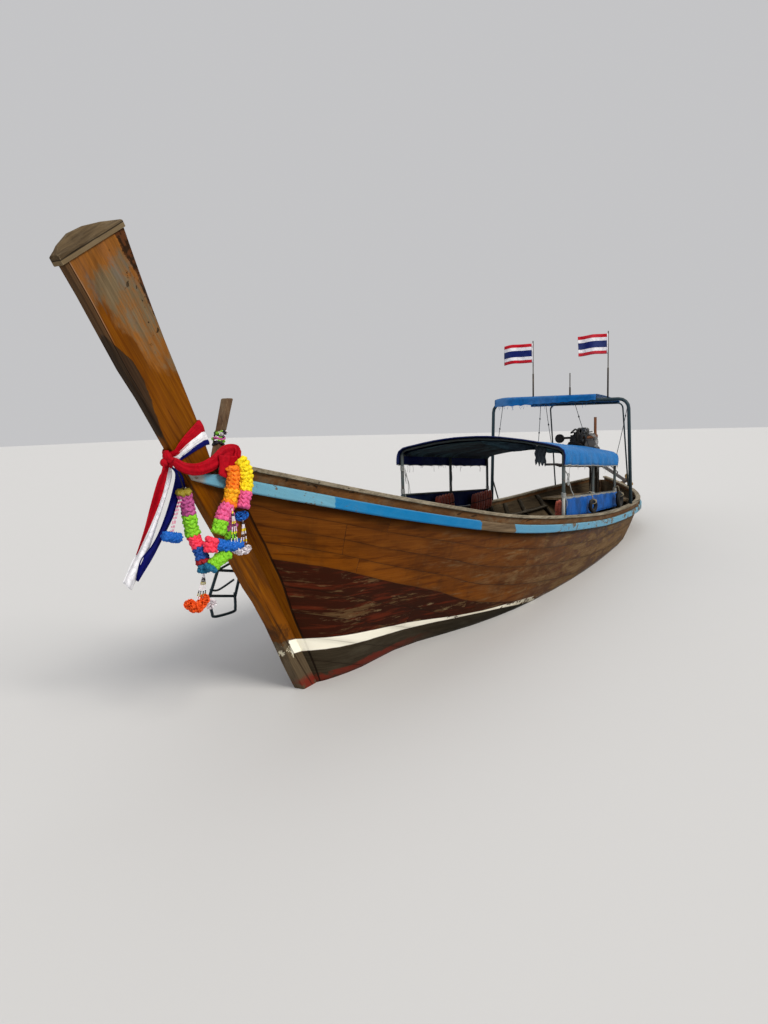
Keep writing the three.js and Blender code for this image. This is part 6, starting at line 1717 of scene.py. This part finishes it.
def flower(colour):
    """Petals of thin bright cloth, deeper and paler in small random patches, with fine veins."""
    name = "Flower " + colour.title()
    if name in bpy.data.materials:
        return bpy.data.materials[name]
    base = shade(*FLOWER_COLOURS[colour])
    made, t = material(name)
    place = t.place()
    tone = t.noise(place, 130.0, 3.0, 0.6)
    vein = t.noise(place, 420.0, 2.0, 0.5)
    colour = t.mix(t.between(tone, 0.35, 0.65), t.dyed(base, 226, 212, 212), t.mix(0.04, base, shade(255, 255, 255)))
    colour = t.mix(vein * 0.25, colour, t.dyed(colour, 215, 205, 205))
    t.surface(colour, t.blend(tone, 0.62, 0.8), vein, 0.5, 0.001, Specular_IOR_Level=0.06)
    return made


def ruffles(shape, path, radius, bands, dice):
    """Fat frilled rings threaded along a path, each a folded ribbon with two wavy lips.

    bands gives (share of the length, material number), in order.
    """
    points = [Vector(p[:3]) for p in path]
    lengths = [0.0]
    for a, b in zip(points, points[1:]):
        lengths.append(lengths[-1] + (b - a).length)
    total = lengths[-1]
    count = max(2, round(total / sizes().petal))
    pitch, many = total / count, 36
    for n in range(count):
        run = total * (n + 0.5) / count
        k = next((i for i in range(len(points) - 1) if run <= lengths[i + 1] + 1e-9), len(points) - 2)
        part = (run - lengths[k]) / max(lengths[k + 1] - lengths[k], 1e-9)
        middle = points[k].lerp(points[k + 1], part)
        way = (points[k + 1] - points[k]).normalized()
        kind = next(m for share, m in bands if (n + 0.5) / count <= share + 1e-6)
        side = way.orthogonal().normalized()
        over = way.cross(side)
        lobes, start = dice.choice((6, 7, 8)), dice.uniform(0, TAU)
        r = radius * dice.uniform(0.95, 1.03)
        rings = []
        for shift, share, frill in ((-0.6, 0.7, 0.4), (-0.46, 0.86, 0.9), (-0.24, 0.97, 1.2), (0.0, 1.03, 1.2),
                                    (0.24, 0.98, 1.2), (0.46, 0.88, 0.9), (0.6, 0.7, 0.4)):
            for i in range(many):
                turn = TAU * i / many
                wave = math.cos(lobes * turn + start + shift * 2.0)
                edge = 0.06 * math.sin((lobes + 3) * turn + start * 2 + shift * 4) + 0.05 * math.sin(2 * turn + start)
                reach = r * share * (1 + frill * (edge + 0.07 * dice.uniform(-1, 1)))
                spread = (side * math.cos(turn) + over * math.sin(turn)) * reach
                rings.append(middle + spread + way * pitch * (shift + 0.26 * frill * wave))
        faces = [[a * many + i, a * many + (i + 1) % many, (a + 1) * many + (i + 1) % many,
                  (a + 1) * many + i] for a in range(6) for i in range(many)]
        faces += [list(range(many))[::-1], [6 * many + i for i in range(many)]]
        shape.add(rings, faces, kind)


def beads(shape, path, kinds, size=None):
    """A string of beads along a path, with the materials in turn."""
    points = [Vector(p[:3]) for p in path]
    size = size or sizes().bead
    shape.tube(points, 0.0016, 5, kinds[0])
    total = sum((b - a).length for a, b in zip(points, points[1:]))
    step, run, k, spent = size * 0.96, 0.0, 0, 0.0
    while run < total:
        while k < len(points) - 2 and spent + (points[k + 1] - points[k]).length < run:
            spent += (points[k + 1] - points[k]).length
            k += 1
        middle = points[k].lerp(points[k + 1], min(1.0, (run - spent) / max((points[k + 1] - points[k]).length, 1e-9)))
        kind = kinds[int(run / step) // 2 % len(kinds)]
        shape.ball(middle, (size * 0.5, size * 0.5, size * 0.46), kind, 5, 7)
        run += step


def blossom(shape, middle, size, kinds, dice, petals=46):
    """A ball of small curled petals."""
    middle = Vector(middle)
    for n in range(petals):
        up = 1 - 2 * (n + 0.5) / petals
        turn = n * 2.39996 + dice.uniform(-0.2, 0.2)
        flat = math.sqrt(1 - up * up)
        way = Vector((flat * math.cos(turn), flat * math.sin(turn), up))
        root = middle + Vector((way.x * size[0], way.y * size[1], way.z * size[2])) * 0.45
        tip = middle + Vector((way.x * size[0], way.y * size[1], way.z * size[2])) * dice.uniform(0.92, 1.08)
        side = way.orthogonal().normalized()
        side = (Matrix.Rotation(dice.uniform(0, TAU), 3, way) @ side)
        wide = min(size) * dice.uniform(0.3, 0.42)
        curl = way.cross(side) * wide * 0.35
        rows = []
        for k, (run, spread, lift) in enumerate(((0.0, 0.35, 0.0), (0.4, 0.95, 0.25), (0.75, 1.0, 0.5), (1.0, 0.55, 1.0))):
            centre = root.lerp(tip, run) + curl * lift
            rows.append([centre + side * wide * spread * s + way * wide * 0.22 * (abs(s) if k < 3 else -abs(s)) for s in (-1,
                    -0.4, 0.4, 1)])
        shape.sheet(rows, 0.0016, kinds[n % len(kinds)])


def garland_kit(names):
    return Shape(), [flower(n) for n in names], {n: i for i, n in enumerate(names)}, random.Random(len(names) * 7 + 1)


def fore_garland():
    shape, finishes, kind, dice = garland_kit(("olive", "purple", "green", "coral", "blue", "crimson", "teal", "tangerine",
                                               "white", "azure", "pink", "black"))
    strand = smooth_path([(6.522, 0.018, 1.548), (6.512, 0.012, 1.51), (6.494, 0.012, 1.455), (6.48, 0.012, 1.375),
                          (6.464, 0.016, 1.274),
                          (6.451, 0.05, 1.185), (6.458, 0.074, 1.112)], 6)
    ruffles(shape, strand, 0.041, ((0.06, 0), (0.34, 1), (0.59, 2), (0.8, 3), (0.965, 4), (1.0, 5)), dice)
    shape.tube([(6.524, 0.02, 1.55), (6.555, 0.03, 1.61), (6.575, 0.032, 1.655)], 0.004, 6, kind["black"])
    ruffles(shape, [(6.458, 0.074, 1.112), (6.456, 0.072, 1.086), (6.454, 0.07, 1.064)], 0.034, ((1.0, kind["teal"]),), dice)
    # Bead strings spread from the teal ruffle to the orange blossoms
    for x, y in ((6.53, 0.067), (6.5, 0.062), (6.468, 0.062), (6.44, 0.057)):
        beads(shape, smooth_path([(6.455, 0.071, 1.061), ((6.455 + x) / 2, 0.07, 0.985), (x, y, 0.909)], 5),
              [kind["white"], kind["white"], kind["black"], kind["olive"]], 0.009)
    for x, z in ((6.572, 0.896), (6.54, 0.872), (6.505, 0.864), (6.474, 0.878), (6.452, 0.9)):
        blossom(shape, (x, 0.057, z), (0.036, 0.034, 0.032), [kind["tangerine"]], dice, 70)
    for x, z in ((6.405, 0.846), (6.375, 0.858), (6.392, 0.87)):
        blossom(shape, (x, 0.06, z), (0.024, 0.022, 0.02), [kind["white"]], dice, 26)
    # The short blue piece on thin strings in front of the stem
    for x in (6.557, 6.569, 6.547):
        beads(shape, smooth_path([(x, 0.018, 1.494), (x + 0.015, -0.01, 1.403), (x + 0.031, -0.032, 1.302)], 4),
              [kind["white"], kind["pink"]], 0.006)
    ruffles(shape, smooth_path([(6.527, -0.03, 1.27), (6.578, -0.035, 1.282), (6.639, -0.04, 1.298)], 5), 0.031,
            ((1.0, kind["azure"]),), dice)
    shape.piece("garland_fore_flowers", finishes, "flowers", replaces="garland_fore")


def middle_garland():
    shape, finishes, kind, dice = garland_kit(("orange", "amber", "purple", "green", "coral", "azure", "white", "teal", "pink",
                                               "black", "yellow"))
    strand = smooth_path([(6.252, 0.158, 1.662), (6.255, 0.162, 1.635), (6.257, 0.162, 1.597), (6.271, 0.16, 1.527),
                          (6.29, 0.156, 1.457), (6.347, 0.152, 1.399),
                          (6.385, 0.146, 1.315), (6.398, 0.142, 1.285)], 8)
    ruffles(shape, strand, 0.042, ((0.33, 0), (0.47, 1), (0.58, 0), (0.79, 8), (1.0, 3)), dice)
    ruffles(shape, [(6.43, 0.134, 1.262), (6.444, 0.128, 1.228), (6.448, 0.126, 1.186)], 0.042, ((1.0, kind["coral"]),), dice)
    branch = smooth_path([(6.307, 0.15, 1.394), (6.28, 0.15, 1.336), (6.292, 0.152, 1.266), (6.3, 0.156, 1.235)], 6)
    ruffles(shape, branch, 0.034, ((0.78, 2), (1.0, 3)), dice)
    ruffles(shape, smooth_path([(6.425, 0.158, 1.232), (6.377, 0.165, 1.209), (6.295, 0.172, 1.198), (6.237, 0.175, 1.204)], 4),
            0.034, ((1.0, 5),), dice)
    ruffles(shape, smooth_path([(6.345, 0.165, 1.162), (6.41, 0.15, 1.134), (6.462, 0.135, 1.099), (6.472, 0.13, 1.082)], 5),
            0.038, ((0.86, 3), (1.0, 7)), dice)
    for x, y in ((6.338, 0.186), (6.308, 0.19), (6.282, 0.188)):
        beads(shape, smooth_path([(6.318, 0.188, 1.435), ((6.318 + x) / 2, 0.196, 1.33), (x, y, 1.215)], 6),
              [kind["white"], kind["white"], kind["yellow"], kind["black"]], 0.008)
    shape.piece("garland_middle_flowers", finishes, "flowers", replaces="garland_middle")


def aft_garland():
    shape, finishes, kind, dice = garland_kit(("yellow", "amber", "pink", "azure", "white", "black"))
    strand = smooth_path([(6.214, 0.18, 1.702), (6.206, 0.196, 1.68), (6.196, 0.203, 1.645), (6.19, 0.205, 1.592),
                          (6.205, 0.204, 1.51), (6.236, 0.203, 1.42)], 8)
    ruffles(shape, strand, 0.041, ((0.68, 0), (1.0, 2)), dice)
    for x, z in ((6.222, 1.374), (6.246, 1.366), (6.268, 1.372)):
        blossom(shape, (x, 0.2, z), (0.026, 0.03, 0.028), [kind["azure"]], dice, 34)
    for x, y, low in ((6.27, 0.192, 1.18), (6.238, 0.196, 1.17), (6.2, 0.19, 1.172)):
        beads(shape, smooth_path([(6.24, 0.204, 1.35), ((6.24 + x) / 2, 0.204, 1.26), (x, y, low)], 6),
              [kind["white"], kind["black"], kind["white"], kind["yellow"]], 0.009)
    for x, z in ((6.288, 1.168), (6.262, 1.156), (6.232, 1.16), (6.204, 1.152), (6.182, 1.166)):
        blossom(shape, (x, 0.184, z), (0.024, 0.026, 0.022), [kind["white"]], dice, 40)
    shape.piece("garland_aft_flowers", finishes, "flowers", replaces="garland_aft")


def post_flowers():
    shape, finishes, kind, dice = garland_kit(("purple", "white", "green", "black", "coral", "crimson"))
    for k in range(6):
        z = 1.8 + 0.014 * k
        x = along([(1.642, 6.238), (1.8, 6.18), (2.072, 6.073)], z)
        path = [(x + 0.03 * math.cos(TAU * i / 22), 0.032 * math.sin(TAU * i / 22),
                 z + 0.007 * math.sin(TAU * i / 22 * 2 + k)) for i in range(23)]
        if k % 2:
            beads(shape, path, [kind["white"], kind["green"], kind["black"]], 0.011)
        else:
            shape.tube(path, 0.008, 10, kind["purple" if k % 4 else "black"], 0, 0, 0.4)
    for n, turn in enumerate((0.2, 0.9, 1.6, 2.4, 3.4, 4.4, 5.4)):
        z = 1.842 + 0.03 * math.sin(turn * 3)
        x = along([(1.642, 6.238), (1.8, 6.18), (2.072, 6.073)], z)
        blossom(shape, (x + 0.034 * math.cos(turn), 0.034 * math.sin(turn), z), (0.014, 0.014, 0.012),
                [kind["white" if n % 2 else "green"]], dice, 22)
    shape.piece("post_flowers", finishes, "flowers")


class HangTheGarlands(bpy.types.Operator):
    """Makes the flower garlands with their bead strings, and the flowers on the mooring post"""

    bl_idname = "longtail.garlands"
    bl_label = "Garlands"
    bl_options = {"REGISTER", "UNDO"}

    def execute(self, context):
        fore_garland()
        middle_garland()
        aft_garland()
        post_flowers()
        return {"FINISHED"}


# Loose gear

def vest_row(name, node, low, high, side, count, finishes):
    dice = random.Random(count)
    shape = Shape()
    top = panel_top((low + high) / 2) - 0.03
    step = (high - low) / count
    for n in range(count):
        x = low + step * (n + 0.5)
        lean = dice.uniform(-0.12, 0.12)
        for layer, (y, long) in enumerate(((0.925, 0.29), (0.885, 0.27))):
            points, faces = [], []
            rings, sides = 12, 16
            for i in range(rings + 1):
                v = i / rings
                swell = (math.sin(math.pi * min(1, max(0, v * 0.96 + 0.02)))) ** 0.35
                pinch = 1 - 0.22 * math.exp(-((v - 0.45) / 0.07) ** 2)
                for k in range(sides):
                    turn = TAU * k / sides
                    cx, cy = math.cos(turn), math.sin(turn)
                    flat = (abs(cx) ** 4 + abs(cy) ** 4) ** -0.25
                    points.append((x + lean * (0.5 - v) * 0.3 + cx * flat * step * 0.45 * swell * (0.92 + 0.08 * pinch),
                                   side * (y + 0.004 * ripple(x, v, layer, 9)) + cy * flat * 0.026 * swell * pinch,
                                   top - long * v))
            for i in range(rings):
                for k in range(sides):
                    j = (k + 1) % sides
                    faces.append([i * sides + k, i * sides + j, (i + 1) * sides + j, (i + 1) * sides + k])
            faces += [list(range(sides))[::-1], [rings * sides + k for k in range(sides)]]
            shape.add(points, faces, 0)
            z = top - long * 0.45
            ring = [(x + step * 0.43 * math.cos(TAU * i / 20), side * y + 0.024 * math.sin(TAU * i / 20),
                     z + 0.002 * math.sin(i)) for i in range(21)]
            shape.tube(ring, 0.006, 6, 1)
    made = shape.piece(name, finishes, "orange_cloth", replaces=node)


def black_cloth(finish):
    shape, rows = Shape(), []
    for k in range(16):
        row = []
        for i in range(19):
            s = i / 18
            ragged = 0.15 + 0.055 * abs(math.sin(s * 11)) + 0.03 * ripple(s, 0, 0, 9)
            y = 0.655 + 0.122 * s
            row.append((1.56 + 0.008 * math.sin(s * 17 + k * 0.25), y + 0.006 * math.sin(k * 0.7),
                        1.572 - 0.012 * s - ragged * k / 15))
        rows.append(row)
    shape.sheet(rows, 0.003)
    made = shape.piece("black_rag", finish, "black_cloth", replaces="hanging_cloth")


def gear_ropes():
    rope = cloth("Fender Rope", shade(150, 138, 112), 0.3, 60.0, 0.006, sheen=0.0, grime=0.5)
    shape = Shape()
    for x, y, z, r in ((0.523, 1.085, 0.811, 0.066), (-1.242, 1.1, 0.709, 0.086)):
        for shift in (-0.02, 0.02):
            shape.tube([(x + shift, y + r * 0.6 * math.cos(TAU * i / 20),
                         z + r * 0.72 + 0.028 * math.sin(TAU * i / 20)) for i in range(21)],
                       0.006, 8, 0, 3, 500.0)
        shape.curve([(x, y, z + r + 0.01), (x + 0.01, y - 0.03, z + r + 0.1), (x, 1.0, panel_top(x) + 0.02)], 6, 0.006, 8, 0, 3,
                    400.0)
    shape.piece("fender_ropes", rope, "bare_wood")
    # The ladder's foot below its last rung, with a bent brace between the rungs
    steel = bpy.data.materials["Black Tube"]
    shape = Shape()
    shape.curve([(5.17, -1.02, 0.5), (5.16, -1.012, 0.4), (5.13, -1.008, 0.36), (4.9, -1.008, 0.345), (4.862, -1.012, 0.375),
                 (4.85, -1.02, 0.5)], 8, 0.012, 12)
    shape.curve([(5.16, -1.015, 0.59), (5.06, -1.015, 0.568), (4.86, -1.015, 0.612)], 8, 0.009, 10)
    shape.piece("ladder_foot", steel, "black_tube")


class StowTheGear(bpy.types.Operator):
    """Makes the life vests, the black cloth, and the ropes of the fenders and the ladder"""

    bl_idname = "longtail.gear"
    bl_label = "Vests and Ropes"
    bl_options = {"REGISTER", "UNDO"}

    def execute(self, context):
        c = colours()
        orange = cloth("Vest Cloth", c.vest_orange, 0.3, 20.0, 0.0012, rough=0.6, sheen=0.2, grime=0.5)
        band = cloth("Vest Webbing", shade(38, 38, 42), 0.2, 30.0, 0.002, grime=0.4)
        for number, (low, high, side, count) in enumerate(((0.2, 0.72, -1, 5), (-1.38, -0.62, -1, 7), (1.31, 1.52, 1, 2))):
            vest_row("vests_%d" % (number + 1), "life_vest_%d" % (number + 1), low, high, side, count, [orange, band])
        black_cloth(cloth("Black Cloth", shade(34, 36, 40), 0.3, 20.0, 0.002, grime=0.4))
        gear_ropes()
        return {"FINISHED"}


OPERATORS = (StageTheBoat, FinishTheHull, FinishTheIronwork, FinishTheEngine, DressTheCanopy, DressTheStern, TieTheSash,
             HangTheGarlands,
             StowTheGear)


class LongtailPanel(bpy.types.Panel):
    """Lists the steps that dress the boat, with its colours and sizes"""

    bl_idname = "VIEW3D_PT_longtail"
    bl_label = "Longtail Boat"
    bl_space_type = "VIEW_3D"
    bl_region_type = "UI"
    bl_category = "Longtail"

    def draw(self, context):
        column = self.layout.column(align=True)
        for step in OPERATORS:
            column.operator(step.bl_idname)
        for title, settings in (("Colours", context.scene.longtail_colours), ("Sizes", context.scene.longtail_sizes)):
            box = self.layout.box()
            box.label(text=title)
            for key in settings.__annotations__:
                box.prop(settings, key)


CLASSES = (LongtailColours, LongtailSizes) + OPERATORS + (LongtailPanel,)


def register():
    for kind in CLASSES:
        bpy.utils.register_class(kind)
    bpy.types.Scene.longtail_colours = bpy.props.PointerProperty(type=LongtailColours)
    bpy.types.Scene.longtail_sizes = bpy.props.PointerProperty(type=LongtailSizes)


def unregister():
    del bpy.types.Scene.longtail_sizes
    del bpy.types.Scene.longtail_colours
    for kind in reversed(CLASSES):
        bpy.utils.unregister_class(kind)


def main():
    register()
    bpy.ops.longtail.stage()
    bpy.ops.longtail.hull()
    bpy.ops.longtail.ironwork()
    bpy.ops.longtail.engine()
    bpy.ops.longtail.canopy()
    bpy.ops.longtail.stern()
    bpy.ops.longtail.sash()
    bpy.ops.longtail.garlands()
    bpy.ops.longtail.gear()


if __name__ == "__main__":
    main()
